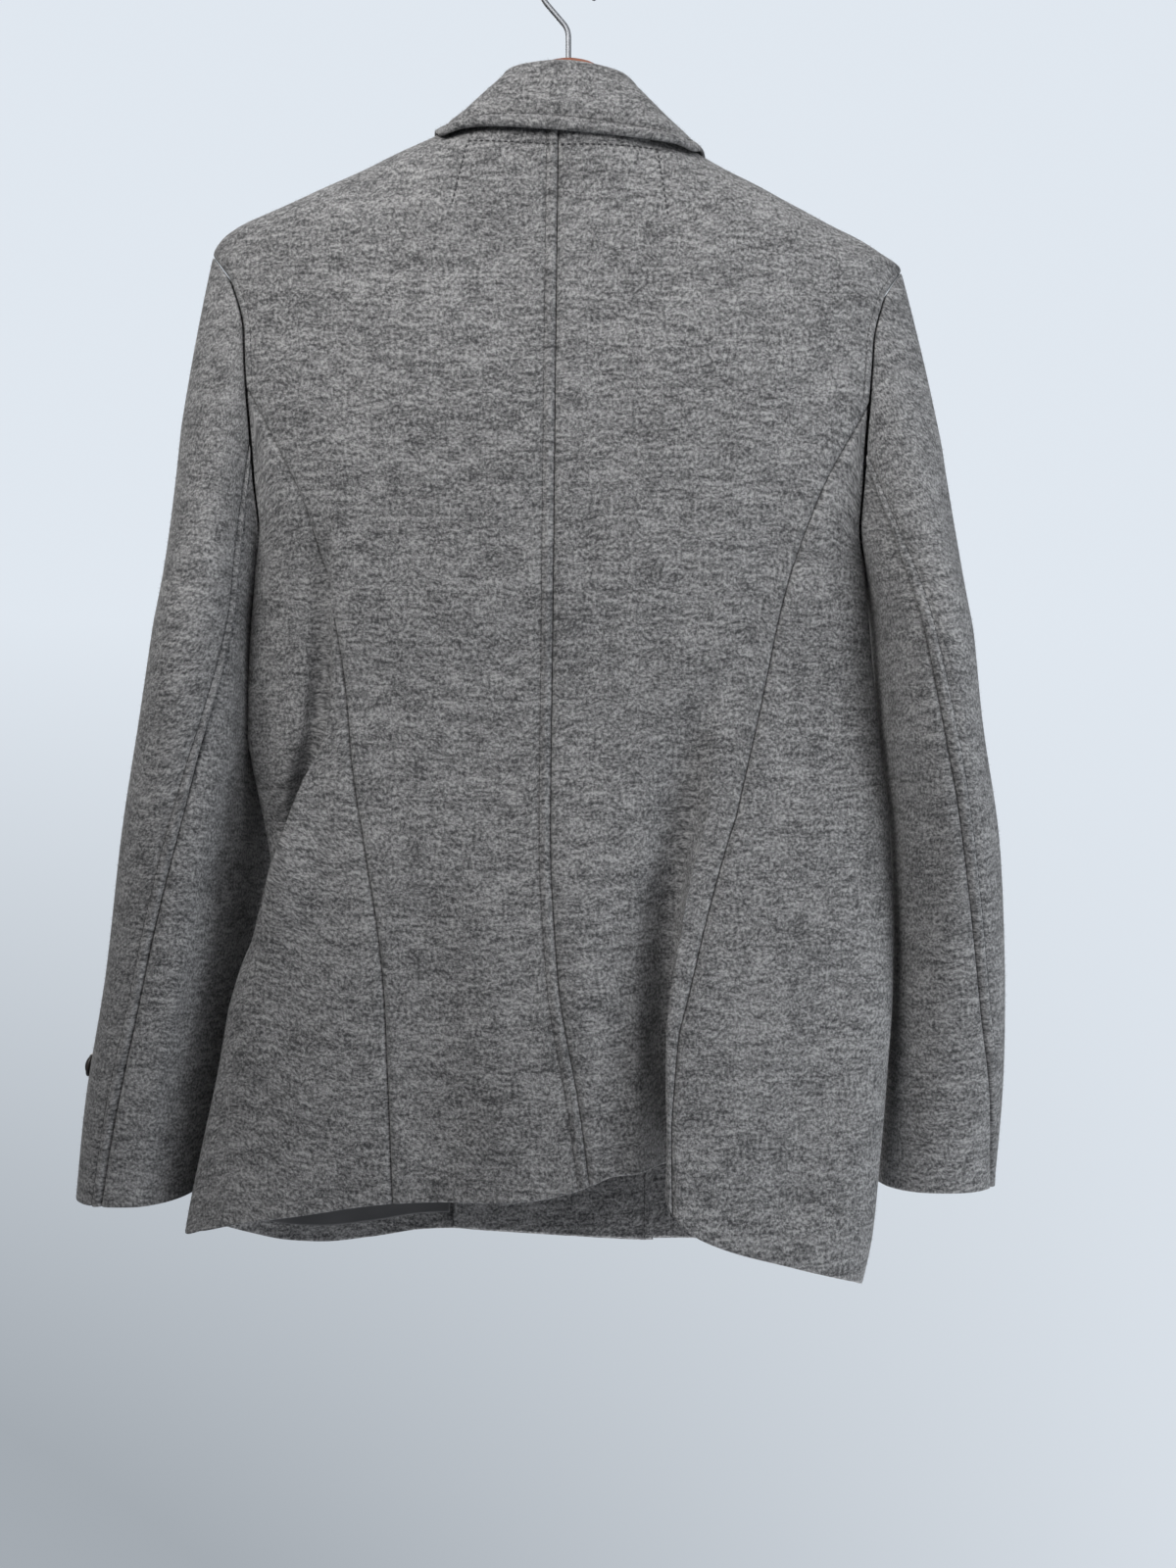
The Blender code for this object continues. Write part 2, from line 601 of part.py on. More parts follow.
def kept_clear(place, clear):
    """The place moved out, where it has to be, to stand that far off the body's outer face."""
    place = np.array(place, float)
    for _ in range(6):
        x, y, z = place
        which = "back" if y >= 0 else "front"
        half = float(WIDTH("left" if x >= 0 else "right", z))
        power = float(DEPTH(which + "_round", z)) / 2
        s = math.copysign((abs(x) / half) ** power, x)
        c = math.copysign((abs(y) / float(DEPTH(which, z))) ** power, y)
        angle = np.array(math.degrees(math.atan2(s, c)))
        rise = FRONT_RISE if x < OVERLAP_RIGHT + 0.006 else 0.0
        near = body(angle, z, rise)
        normal = outward(lambda a, h: body(a, h, rise), angle, z)
        short = clear - float(np.dot(place - near, normal))
        if short > 0:
            place = place + normal * short
    return place


def make_collar(looks):
    """Stand and fall of the collar, one cloth folded along the roll line."""
    rows = []
    for station in np.linspace(-176, 176, COLLAR_STATIONS + 1):
        base = neck_seam(station)
        roll = np.array([COLLAR(n, station) for n in ("roll_x", "roll_y", "roll_z")])
        edge = np.array([COLLAR(n, station) for n in ("edge_x", "edge_y", "edge_z")])
        out = edge - base
        out[2] = 0
        away = np.array([math.sin(math.radians(station)), math.cos(math.radians(station)), 0])
        out = out / max(np.linalg.norm(out), 1e-9) * 0.5 + away * 0.5
        out /= np.linalg.norm(out)
        ahead = [np.array([COLLAR(n, station + d) for n in ("roll_x", "roll_y", "roll_z")])
                 for d in (-1.0, 1.0)]
        along = (ahead[1] - ahead[0]) / np.linalg.norm(ahead[1] - ahead[0])
        up = np.array([0, 0, 1.0])
        up = up - along * np.dot(up, along)
        up /= np.linalg.norm(up)
        out = out - along * np.dot(out, along) - up * np.dot(out, up)
        out /= np.linalg.norm(out)
        crown = roll - up * FOLD_RADIUS
        foot = base - out * (CLOTH + SEAM) + np.array([0, 0, 0.0006])
        bend = crown - out * FOLD_RADIUS
        stand = [foot * (1 - t) + bend * t for t in (0.0, 0.33, 0.66, 0.985)]
        arc = [crown + FOLD_RADIUS * (out * math.cos(t) + up * math.sin(t))
               for t in np.radians((178, 135, 90, 45, 15))]
        edge = kept_clear(edge, COLLAR_CLEAR)
        swell = out * (0.0012 + 0.0012 * abs(math.cos(math.radians(station))))
        down = [arc[-1] * (1 - t) + edge * t + swell * math.sin(math.pi * t) for t in (0.3, 0.62, 1)]
        down = [kept_clear(p, COLLAR_CLEAR) for p in down]
        rows.append(stand + arc + down)
    grid = np.array(rows)
    normals = np.cross(np.gradient(grid, axis=0), np.gradient(grid, axis=1))
    normals /= np.linalg.norm(normals, axis=-1, keepdims=True)
    if normals[COLLAR_STATIONS // 2, -1, 1] < 0:
        normals = -normals
    normals[:, 3] = normals[:, 2]
    normals[:, 4] = normals[:, 2]
    wall("collar_stand", grid[:, :4], normals[:, :4], CLOTH, looks["wool"])
    wall("collar_fall", grid[:, 4:], normals[:, 4:], CLOTH, looks["wool"])


BUTTON_RADIUS = 0.011
CUFF_BUTTON_RADIUS = 0.0075
BUTTON_COLUMNS = {"a": 0.054, "b": -0.040}
BUTTON_HEIGHTS = (-0.265, -0.360, -0.455, -0.550)
BUTTON_SIDES = 12
BUTTON_LIFT = 0.0004    # front buttons off the cloth's curve
CUFF_BUTTON_SINK = 0.0002   # cuff buttons into the cloth's curve, which lies on flat facets
CUFF_BUTTON = {"left": dict(height=-0.7000, turn=3.0), "right": dict(height=-0.6950, turn=-14.0)}


def make_button(name, place, normal, radius, looks):
    """Domed button standing a seam gap above the cloth."""
    normal = np.asarray(normal) / np.linalg.norm(normal)
    side = np.cross(normal, (0, 0, 1.0))
    side /= np.linalg.norm(side)
    up = np.cross(side, normal)
    profile = [(0.0, 0.62), (0.12, 0.96), (0.30, 1.00), (0.52, 0.78), (0.64, 0.42)]
    points, faces = [], []
    foot = np.asarray(place) + normal * SEAM
    for high, wide in profile:
        for k in range(BUTTON_SIDES):
            t = 2 * math.pi * k / BUTTON_SIDES
            points.append(foot + normal * high * radius
                          + (side * math.cos(t) + up * math.sin(t)) * wide * radius)
    points.append(foot + normal * 0.68 * radius)
    for r in range(len(profile) - 1):
        for k in range(BUTTON_SIDES):
            n = (k + 1) % BUTTON_SIDES
            faces.append([r * BUTTON_SIDES + k, r * BUTTON_SIDES + n,
                          (r + 1) * BUTTON_SIDES + n, (r + 1) * BUTTON_SIDES + k])
    faces.append(list(range(BUTTON_SIDES - 1, -1, -1)))
    last = (len(profile) - 1) * BUTTON_SIDES
    for k in range(BUTTON_SIDES):
        faces.append([last + k, last + (k + 1) % BUTTON_SIDES, len(points) - 1])
    solid(name, points, faces, looks["button"])


def make_buttons(looks):
    def front(angle, z):
        return body(angle, z, FRONT_RISE)

    for column, x in BUTTON_COLUMNS.items():
        for row, z in enumerate(BUTTON_HEIGHTS):
            angle = angle_of(np.array(x), z, True) - 360
            normal = outward(front, angle, z)
            make_button(f"button_{column}{row + 1}", front(angle, z) + normal * BUTTON_LIFT, normal,
                        BUTTON_RADIUS, looks)
    for side, spot in CUFF_BUTTON.items():
        sign = 1 if side == "left" else -1
        table = SLEEVE_LEFT if side == "left" else SLEEVE_RIGHT
        ring = [sleeve_ring(table, sign, spot["height"], np.array(spot["turn"] + d))
                for d in (-4, 0, 4)]
        round_it = ring[2] - ring[0]
        above = sleeve_ring(table, sign, spot["height"] + 0.01, np.array(spot["turn"]))
        normal = np.cross(round_it, above - ring[1])
        if normal[0] * sign < 0:
            normal = -normal
        normal /= np.linalg.norm(normal)
        make_button("cuff_button_" + side, ring[1] - normal * CUFF_BUTTON_SINK, normal,
                    CUFF_BUTTON_RADIUS, looks)


HANGER_HALF = {"left": 0.203, "right": 0.190}
HANGER_TOP = -0.061     # crown of the wood under the hook
HANGER_SEAT = CLOTH + LINING_GAP + LINING + SEAM
HANGER = Table("share half_thick height", [
    (0.00, 0.0070, 0.030), (0.15, 0.0070, 0.029), (0.50, 0.0075, 0.027), (0.90, 0.0085, 0.022),
    (1.00, 0.0070, 0.014),
])
HANGER_SIDES = 12
HANGER_STEPS = 11


def hanger_top(side, x):
    """Height of the wood's top: a hump at the hook, then along under the shoulder."""
    heights = np.linspace(-0.09, SHOULDER[side], 120)
    widths = WIDTH(side, heights)
    order = np.argsort(widths)
    shoulder = np.interp(x, widths[order], heights[order]) - HANGER_SEAT * 1.35
    neck = NECK_POINT[side] - 0.0068
    hump = pchip(np.array([0.0, 0.018, 0.042, 0.070]),
                 np.array([HANGER_TOP, HANGER_TOP - 0.004, neck + 0.012, neck]), np.minimum(x, 0.070))
    blend = np.clip((x - 0.070) / 0.012, 0, 1)
    return hump * (1 - blend) + shoulder * blend


def make_hanger(looks):
    points, faces = [], []
    shares = np.linspace(0, 1, HANGER_STEPS + 1)
    stations = [("right", s) for s in shares[:0:-1]] + [("left", s) for s in shares]
    for side, share in stations:
        sign = 1 if side == "left" else -1
        x = share * HANGER_HALF[side]
        top = float(hanger_top(side, x))
        half, tall = float(HANGER("half_thick", share)), float(HANGER("height", share))
        for k in range(HANGER_SIDES):
            t = 2 * math.pi * (k + 0.5) / HANGER_SIDES
            c, s = math.cos(t), math.sin(t)
            y = half * math.copysign(abs(c) ** 0.75, c)
            z = top - tall / 2 + tall / 2 * math.copysign(abs(s) ** 0.75, s) / 0.974
            points.append((sign * x, y, z))
    rings = len(stations)
    for r in range(rings - 1):
        for k in range(HANGER_SIDES):
            n = (k + 1) % HANGER_SIDES
            faces.append([r * HANGER_SIDES + k, r * HANGER_SIDES + n,
                          (r + 1) * HANGER_SIDES + n, (r + 1) * HANGER_SIDES + k])
    faces.append(list(range(HANGER_SIDES)))
    faces.append(list(range((rings - 1) * HANGER_SIDES, rings * HANGER_SIDES))[::-1])
    solid("hanger_body", points, faces, looks["wood"])


WIRE = 0.00175          # radius of the hook's wire
HOOK_RADIUS = 0.0178    # radius of the hook's centre line
HOOK_BEND = -0.0434     # height where the shank leans out
WIRE_SIDES = 8


def make_hook(looks):
    """Wire hook: shank, lean to the wearer's left, then round over the rod."""
    centre = np.array([0, 0, -(HOOK_RADIUS - WIRE)])
    foot = HANGER_TOP + SEAM + 0.0005
    lean = math.radians(40.6)
    first = math.degrees(-lean)
    path = [np.array([0, 0, z]) for z in np.linspace(foot, HOOK_BEND - 0.005, 4)]
    start = centre + HOOK_RADIUS * np.array([math.cos(-lean), 0, math.sin(-lean)])
    knee = np.array([0, 0, HOOK_BEND])
    for t in (0.35, 0.65, 0.95):
        ease = t * t
        path.append(knee + np.array([0, 0, -0.005 * (1 - t) ** 2]) + (start - knee) * 0.22 * ease)
    path.append(knee + (start - knee) * 0.55)
    for turn in np.linspace(first, 205, 20):
        t = math.radians(turn)
        path.append(centre + HOOK_RADIUS * np.array([math.cos(t), 0, math.sin(t)]))
    path = np.array(path)
    along = np.gradient(path, axis=0)
    along /= np.linalg.norm(along, axis=1, keepdims=True)
    across = np.array([0, 1.0, 0])
    points, faces = [], []
    for place, way in zip(path, along):
        side = np.cross(way, across)
        for k in range(WIRE_SIDES):
            t = 2 * math.pi * k / WIRE_SIDES
            points.append(place + WIRE * (side * math.cos(t) + across * math.sin(t)))
    for r in range(len(path) - 1):
        for k in range(WIRE_SIDES):
            n = (k + 1) % WIRE_SIDES
            faces.append([r * WIRE_SIDES + k, r * WIRE_SIDES + n,
                          (r + 1) * WIRE_SIDES + n, (r + 1) * WIRE_SIDES + k])
    faces.append(list(range(WIRE_SIDES)))
    faces.append(list(range((len(path) - 1) * WIRE_SIDES, len(path) * WIRE_SIDES))[::-1])
    solid("hanger_hook", points, faces, looks["steel"])


def main():
    for old in list(bpy.data.objects):
        bpy.data.objects.remove(old, do_unlink=True)
    looks = {
        "wool": material("wool", WOOL_GREY, 0.95),
        "lining": material("lining", LINING_GREY, 0.5),
        "button": material("button", BUTTON_BROWN, 0.4),
        "wood": material("wood", WOOD_BROWN, 0.5),
        "steel": material("steel", STEEL, 0.3, 1.0),
    }
    make_body(looks)
    for side in ("left", "right"):
        make_sleeve(side, looks)
    make_collar(looks)
    make_buttons(looks)
    make_hanger(looks)
    make_hook(looks)


main()
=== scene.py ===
"""Military coat on a wooden hanger: wool shells on the solids' forms, sewing, buttons and studio.

Metres, +Z up, the coat's front to -Y and the wearer's left to +X. The origin is where the hook
bears on its rod.
"""
import math

import bpy
import numpy as np
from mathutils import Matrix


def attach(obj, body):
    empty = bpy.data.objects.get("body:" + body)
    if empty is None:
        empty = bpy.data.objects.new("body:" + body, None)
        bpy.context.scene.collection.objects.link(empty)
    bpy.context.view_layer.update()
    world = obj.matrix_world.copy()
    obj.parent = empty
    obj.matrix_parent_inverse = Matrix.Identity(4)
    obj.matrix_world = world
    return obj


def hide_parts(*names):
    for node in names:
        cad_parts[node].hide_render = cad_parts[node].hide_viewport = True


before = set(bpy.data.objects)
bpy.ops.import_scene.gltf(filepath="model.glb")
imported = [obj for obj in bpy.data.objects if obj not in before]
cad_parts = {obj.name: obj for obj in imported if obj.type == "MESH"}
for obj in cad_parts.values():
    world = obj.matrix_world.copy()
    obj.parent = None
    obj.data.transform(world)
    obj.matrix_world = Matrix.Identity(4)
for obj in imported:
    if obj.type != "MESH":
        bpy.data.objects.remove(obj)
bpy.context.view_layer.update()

CLOTH = 0.0022          # wool wall
LINING = 0.0012         # lining wall
SEAM = 0.0003           # gap between pieces sewn to each other
LAYER = 0.0004          # gap between layers that lie on each other
SIGN = {"left": 1, "right": -1}     # the wearer's left is +X
FRONT_EDGE = {"left": -0.0555, "right": 0.074}   # x of each front's edge
FRONT_RISE = 2 * (CLOTH + LAYER)    # how far the right front lies over the left one
LINING_RISE = 0.011     # lining's lower edge above the hem
LINING_GAP = 0.0010     # lining behind the cloth
LINING_INSET = dict(first=0.002, last=0.002, low=LINING_RISE, top=0.001)
FACING_RISE = 0.0012    # facing's edges inside the front's edges
NECK_GAP = 0.0012       # fronts' neck edge below the collar
FRONT_TOP = -0.185      # top edge of the lapped part of each front
FRONT_MIDWAY = -0.245   # height on a front's edge level with the shoulder tip's row
UNDERARM = -0.385       # height of both underarm points
SHOULDER = {"left": -0.1872, "right": -0.1971}   # height of the shoulder tips
NECK_POINT = {"left": -0.1065, "right": -0.1179}
NECK_HALF = 0.070       # half width of the neck at the shoulder seams
NECK_REACH = (-0.195, -0.090)       # heights between which the neck seam runs
NECK_BACK = -0.118      # height of the neck seam at the centre back
PRINCESS_TOP = -0.24    # a height above the princess seams' upper ends
HEM_GUESS = -0.79       # a height close to the hem, to start looking for it


def pchip(x, y, t):
    """Smooth curve through the points of a table, with no overshoot."""
    step = np.diff(x)
    slope = np.diff(y) / step
    grade = np.zeros_like(y)
    both = slope[:-1] * slope[1:]
    total = slope[:-1] + slope[1:]
    grade[1:-1] = np.where(both > 0, 2 * both / np.where(both > 0, total, 1), 0)
    grade[0], grade[-1] = slope[0], slope[-1]
    t = np.clip(t, x[0], x[-1])
    i = np.clip(np.searchsorted(x, t) - 1, 0, len(step) - 1)
    u = (t - x[i]) / step[i]
    start = (1 + 2 * u) * (1 - u) ** 2 * y[i] + u * (1 - u) ** 2 * step[i] * grade[i]
    end = u * u * (3 - 2 * u) * y[i + 1] + u * u * (u - 1) * step[i] * grade[i + 1]
    return start + end


class Table:
    """Rows of named columns, read by the first column."""

    def __init__(self, names, rows):
        self.names = names.split()
        self.rows = np.array(sorted(rows), float)

    def __call__(self, name, t):
        return pchip(self.rows[:, 0], self.rows[:, self.names.index(name)], np.asarray(t, float))


def part_way(distance, run):
    """0 to 1 as a distance grows over a run."""
    return np.clip(distance / run, 0, 1)


def eased(share, full=1.0):
    """From 0 to full as a share grows from 0 to 1, with a soft start and a soft end."""
    return full * share * share * (3 - 2 * share)


def squared(value, power):
    """A cosine or sine bent towards a squarer form."""
    return np.sign(value) * np.abs(value) ** power


def soften(rows, passes):
    """Draws each row between the first and the last towards its neighbours, in place."""
    for _ in range(passes):
        rows[1:-1] = rows[:-2] * 0.25 + rows[1:-1] * 0.5 + rows[2:] * 0.25


def lengths(points, axis=0):
    """Distance gone along a line or a grid of points, from its first."""
    gone = np.cumsum(np.linalg.norm(np.diff(points, axis=axis), axis=-1), axis=axis)
    return np.concatenate([0 * np.take(gone, [0], axis=axis), gone], axis=axis)


def unit(vectors):
    """The same directions with a length of 1."""
    return vectors / np.maximum(np.linalg.norm(vectors, axis=-1, keepdims=True), 1e-12)


# Half widths of the body from the neck to below the hem.
WIDTH = Table("height left right", [
    (-0.0900, 0.0400, 0.0280),
    (-0.1065, 0.0700, 0.0515),
    (-0.1179, 0.0936, 0.0700),
    (-0.1283, 0.1167, 0.0896),
    (-0.1440, 0.1508, 0.1192),
    (-0.1640, 0.1959, 0.1569),
    (-0.1695, 0.2077, 0.1673),
    (-0.1780, 0.2195, 0.1835),
    (-0.1872, 0.2245, 0.1980),
    (-0.1971, 0.2248, 0.2102),
    (-0.2300, 0.2240, 0.2115),
    (-0.2800, 0.2200, 0.2075),
    (-0.3300, 0.2110, 0.1990),
    (-0.3850, 0.1980, 0.1870),
    (-0.4300, 0.2010, 0.1905),
    (-0.4700, 0.2022, 0.1940),
    (-0.5500, 0.2030, 0.2025),
    (-0.6200, 0.2070, 0.2048),
    (-0.7000, 0.2195, 0.1998),
    (-0.8000, 0.2400, 0.1895),
    (-0.8500, 0.2460, 0.1790),
])

# Depths of the body from its middle plane, and how square its back and front are.
DEPTH = Table("height back front back_round front_round", [
    (-0.090, 0.047, 0.042, 1.80, 2.2),
    (-0.118, 0.052, 0.046, 1.80, 2.3),
    (-0.190, 0.056, 0.052, 2.05, 2.6),
    (-0.290, 0.062, 0.058, 2.6, 3.0),
    (-0.385, 0.060, 0.060, 2.6, 3.2),
    (-0.470, 0.052, 0.056, 2.6, 3.2),
    (-0.620, 0.062, 0.058, 2.9, 3.4),
    (-0.700, 0.069, 0.060, 3.2, 3.5),
    (-0.800, 0.077, 0.062, 3.6, 3.6),
])

# Where the seams of the back run.
CENTRE_BACK = Table("height x", [
    (-0.118, 0.0055), (-0.400, 0.0085), (-0.550, 0.0102),
    (-0.640, 0.0054), (-0.710, -0.0064), (-0.765, -0.0142),
])
PRINCESS = {
    "left": Table("height x", [
        (-0.240, 0.2180), (-0.2800, 0.1965), (-0.3184, 0.1763), (-0.3565, 0.1590),
        (-0.3970, 0.1471), (-0.4595, 0.1346), (-0.5327, 0.1275), (-0.6353, 0.1127),
        (-0.7137, 0.1087), (-0.775, 0.1060),
    ]),
    "right": Table("height x", [
        (-0.250, -0.2040), (-0.2867, -0.1859), (-0.3452, -0.1541), (-0.4137, -0.1314),
        (-0.4553, -0.1225), (-0.5387, -0.1035), (-0.556, -0.0997), (-0.6035, -0.0935),
        (-0.650, -0.0897), (-0.700, -0.0855), (-0.735, -0.0835), (-0.785, -0.0840),
    ]),
}

# Share of the half width at the armhole seam, from the underarm up to the shoulder tip.
ARMHOLE = Table("rise back front", [
    (0.00, 1.000, 1.000), (0.04, 0.982, 0.981), (0.14, 0.947, 0.944), (0.30, 0.919, 0.914),
    (0.50, 0.901, 0.896), (0.72, 0.897, 0.894), (0.88, 0.931, 0.928), (1.00, 1.000, 1.000),
])

# Height of the neck seam by the distance across from the middle.
NECK = {
    "left": Table("across back front", [
        (0.000, -0.1180, -0.1850), (0.030, -0.1158, -0.1780), (0.050, -0.1130, -0.1590),
        (0.063, -0.1096, -0.1345), (0.070, -0.1065, -0.1065),
    ]),
    "right": Table("across back front", [
        (0.000, -0.1180, -0.1850), (0.030, -0.1185, -0.1800), (0.050, -0.1186, -0.1645),
        (0.063, -0.1183, -0.1415), (0.070, -0.1179, -0.1179),
    ]),
}

# Height of the hem by the place across, before any fold leans.
HEM_BACK = Table("x height", [
    (-0.205, -0.8330), (-0.186, -0.8310), (-0.175, -0.8240), (-0.120, -0.8045),
    (-0.100, -0.7930), (-0.090, -0.7845), (-0.085, -0.7780), (-0.081, -0.7700),
    (-0.077, -0.7600), (-0.073, -0.7570), (-0.030, -0.7570), (-0.0142, -0.7620),
    (0.0054, -0.7680), (0.030, -0.7715), (0.106, -0.7750), (0.160, -0.7830),
    (0.200, -0.7900), (0.242, -0.8020),
])
HEM_FRONT = Table("x height", [
    (-0.205, -0.8330), (-0.186, -0.8310), (-0.120, -0.8225), (-0.055, -0.8230),
    (0.000, -0.8205), (0.055, -0.8170), (0.078, -0.8152), (0.098, -0.8160),
    (0.130, -0.8205), (0.160, -0.8232), (0.185, -0.8215), (0.210, -0.8150),
    (0.242, -0.8020),
])

# Inner edges of the front facings, which run up to the neck seam.
FACING = Table("height left right", [
    (-0.830, 0.077, -0.0670), (-0.300, 0.077, -0.0670), (-0.210, 0.062, -0.0665),
    (-0.180, 0.053, -0.0655), (-0.160, 0.047, -0.0580), (-0.100, 0.042, -0.0460),
])

# Long folds of the back: each starts at nothing at its top and is full at the hem's level. Its
# flanks have their own widths towards the wearer's left and right.
VALLEY = Table("height x", [
    (-0.460, -0.0800), (-0.500, -0.0755), (-0.5565, -0.0690), (-0.604, -0.0630),
    (-0.652, -0.0630), (-0.700, -0.0655), (-0.759, -0.0665), (-0.820, -0.0665),
])
FOLDS = [
    dict(line=VALLEY, toward_left=0.064, toward_right=0.016, depth=-0.026, top=-0.46),
    dict(line=VALLEY, toward_left=0.026, toward_right=0.013, depth=-0.036, top=-0.48),
    dict(line=Table("height x", [(-0.56, -0.085), (-0.78, -0.083)]), toward_left=0.016,
         toward_right=0.055, depth=0.010, top=-0.56),
    dict(line=Table("height x", [(-0.55, 0.060), (-0.78, 0.035)]), toward_left=0.055,
         toward_right=0.050, depth=0.007, top=-0.55),
]
HEM_LEVEL = -0.780
FOLD_MOST = 1.1         # how full a fold may get below that level

# TOP or EDGE is where each of these starts, and DROP or RUN how far on it is full.
SKIRT_TUCK = 0.020      # how far the left skirt hangs in towards the hem
TUCK_TOP, TUCK_DROP = -0.58, 0.21
TUCK_EDGE, TUCK_RUN = -0.05, 0.12
FOLD_LEAN = 0.0215      # how far the right skirt's fold leans over the valley
LEAN_TOP, LEAN_DROP = -0.54, 0.13
LEAN_LINE, LEAN_FLANKS = -0.081, (0.0145, 0.055)
LAP_EDGE, LAP_RUN = -0.115, 0.045   # where the right front rises over the left one

# Soft creases: x and z of the upper end, x and z of the lower end, half width, depth.
BACK_CREASES = [
    (-0.128, -0.300, -0.122, -0.470, 0.020, -0.0030),
    (-0.168, -0.330, -0.160, -0.480, 0.018, 0.0020),
    (0.1575, -0.370, 0.1525, -0.545, 0.010, -0.0042),
    (0.160, -0.490, 0.214, -0.760, 0.016, 0.0040),
    (-0.082, -0.450, -0.066, -0.620, 0.022, -0.0040),
    (-0.020, -0.520, 0.000, -0.720, 0.026, 0.0030),
    (0.085, -0.560, 0.078, -0.760, 0.026, -0.0030),
    (0.175, -0.235, 0.120, -0.300, 0.018, -0.0014),
    (-0.170, -0.240, -0.120, -0.320, 0.018, -0.0014),
    (-0.155, -0.620, -0.140, -0.800, 0.022, -0.0030),
    (0.070, -0.160, 0.085, -0.260, 0.024, 0.0012),
]
FRONT_CREASES = [
    (0.160, -0.300, 0.105, -0.470, 0.020, -0.0026),
    (-0.150, -0.300, -0.100, -0.480, 0.020, -0.0026),
    (0.150, -0.520, 0.165, -0.800, 0.026, 0.0034),
    (0.115, -0.560, 0.122, -0.810, 0.022, -0.0030),
    (-0.140, -0.540, -0.150, -0.800, 0.026, 0.0034),
    (-0.105, -0.580, -0.108, -0.810, 0.020, -0.0028),
    (0.165, -0.225, 0.110, -0.300, 0.018, -0.0016),
    (-0.160, -0.235, -0.105, -0.310, 0.018, -0.0016),
]

# Where the left side panel starts to fall back, between the sleeve and the skirt's flare, and
# how fully it does.
HOLLOW = Table("height x level", [
    (-0.350, 0.1405, 0.00), (-0.400, 0.1410, 0.25), (-0.440, 0.1430, 0.32), (-0.461, 0.1440, 0.42),
    (-0.479, 0.1455, 0.50), (-0.497, 0.1490, 0.64), (-0.515, 0.1550, 0.98), (-0.533, 0.1590, 1.30),
    (-0.551, 0.1632, 1.50), (-0.568, 0.1700, 1.50), (-0.596, 0.1840, 1.10), (-0.640, 0.2050, 0.30),
    (-0.665, 0.2095, 0.00), (-0.782, 0.2315, 0.00),
])
HOLLOW_DEPTH = 0.009    # step down from the flare's ridge to the side panel
HOLLOW_RUN = 0.007      # width of that step
GROOVE_DEPTH = 0.014    # extra depth of the groove at the ridge's foot
GROOVE_PAST = 0.008     # its deepest line past the ridge, and its flank on the ridge's side
GROOVE_FLANK = 0.011    # its other flank where that is narrowest
GROOVE_WIDENING = 0.009             # how that flank widens with the hollow's level,
GROOVE_WIDENS_AT, GROOVE_WIDEST = 0.6, 0.8   # from this level on, and up to so much above it
RIDGE_LEAN = 0.0060     # how far the ridge leans over the groove
RIDGE_BEFORE, RIDGE_FLANKS = 0.001, (0.009, 0.040)
WAIST_PULL = 0.0165     # how far the left side is drawn in beside the sleeve
PULL_EDGE, PULL_RUN = 0.80, 0.20    # in shares of the half width
PULL_TOP, PULL_DROP = -0.495, 0.075     # its upper end, and how far below it is full
PULL_FOOT, PULL_RISE = -0.660, 0.090    # its lower end, and how far above it is full
# These fade out round the side, where the cloth faces back by less than this share.
HOLLOW_SIDE, TUCK_SIDE, CREASE_SIDE = 0.35, 0.40, 0.25
# Small steps round and up the body, to find its normals.
NORMAL_TURN, NORMAL_RISE = 0.4, 0.001


def half_width(left, z):
    """Half width of the body on the wearer's left or right."""
    return np.where(left, WIDTH("left", z), WIDTH("right", z))


def depth(back, z):
    """Depth of the body's back or front."""
    return np.where(back, DEPTH("back", z), DEPTH("front", z))


def roundness(back, z):
    """How square the body's back or front is; 2 is an ellipse."""
    return np.where(back, DEPTH("back_round", z), DEPTH("front_round", z))


def hollow(x, z):
    """How far the left side panel lies behind the flare's ridge."""
    past, level = x - HOLLOW("x", z), HOLLOW("level", z)
    wider = np.clip(level - GROOVE_WIDENS_AT, 0, GROOVE_WIDEST)
    flank = GROOVE_FLANK + GROOVE_WIDENING * wider
    groove = GROOVE_DEPTH * bump(past - GROOVE_PAST, flank, GROOVE_PAST)
    return (eased(part_way(past, HOLLOW_RUN), HOLLOW_DEPTH) + groove) * level


def drawn_in(share, z):
    """How fully the left side is drawn in, by the share of the half width and the height."""
    wedge = np.minimum(part_way(PULL_TOP - z, PULL_DROP), part_way(z - PULL_FOOT, PULL_RISE))
    return eased(part_way(share - PULL_EDGE, PULL_RUN)) * wedge


def angle_of(x, z, front):
    """Angle round the body, from centre back towards the wearer's left, of a place x across."""
    half = half_width(x >= 0, z)
    power = DEPTH("front_round" if front else "back_round", z) / 2
    turn = np.degrees(np.arcsin(np.clip(np.abs(x) / half, 0, 1) ** power)) * np.sign(x)
    return 180 - turn if front else turn


def bump(u, left, right):
    """Soft rise from 0 to 1 and back, its two flanks of different widths."""
    flank = np.where(u >= 0, u / left, -u / right)
    return np.where(flank < 1, 0.5 + 0.5 * np.cos(np.pi * np.minimum(flank, 1)), 0)


def straight_across(angle, z):
    """Half width, and place across before any fold leans, at an angle and a height."""
    s, c = np.sin(np.radians(angle)), np.cos(np.radians(angle))
    half = half_width(s >= 0, z)
    return half, half * squared(s, 2 / roundness(c >= 0, z))


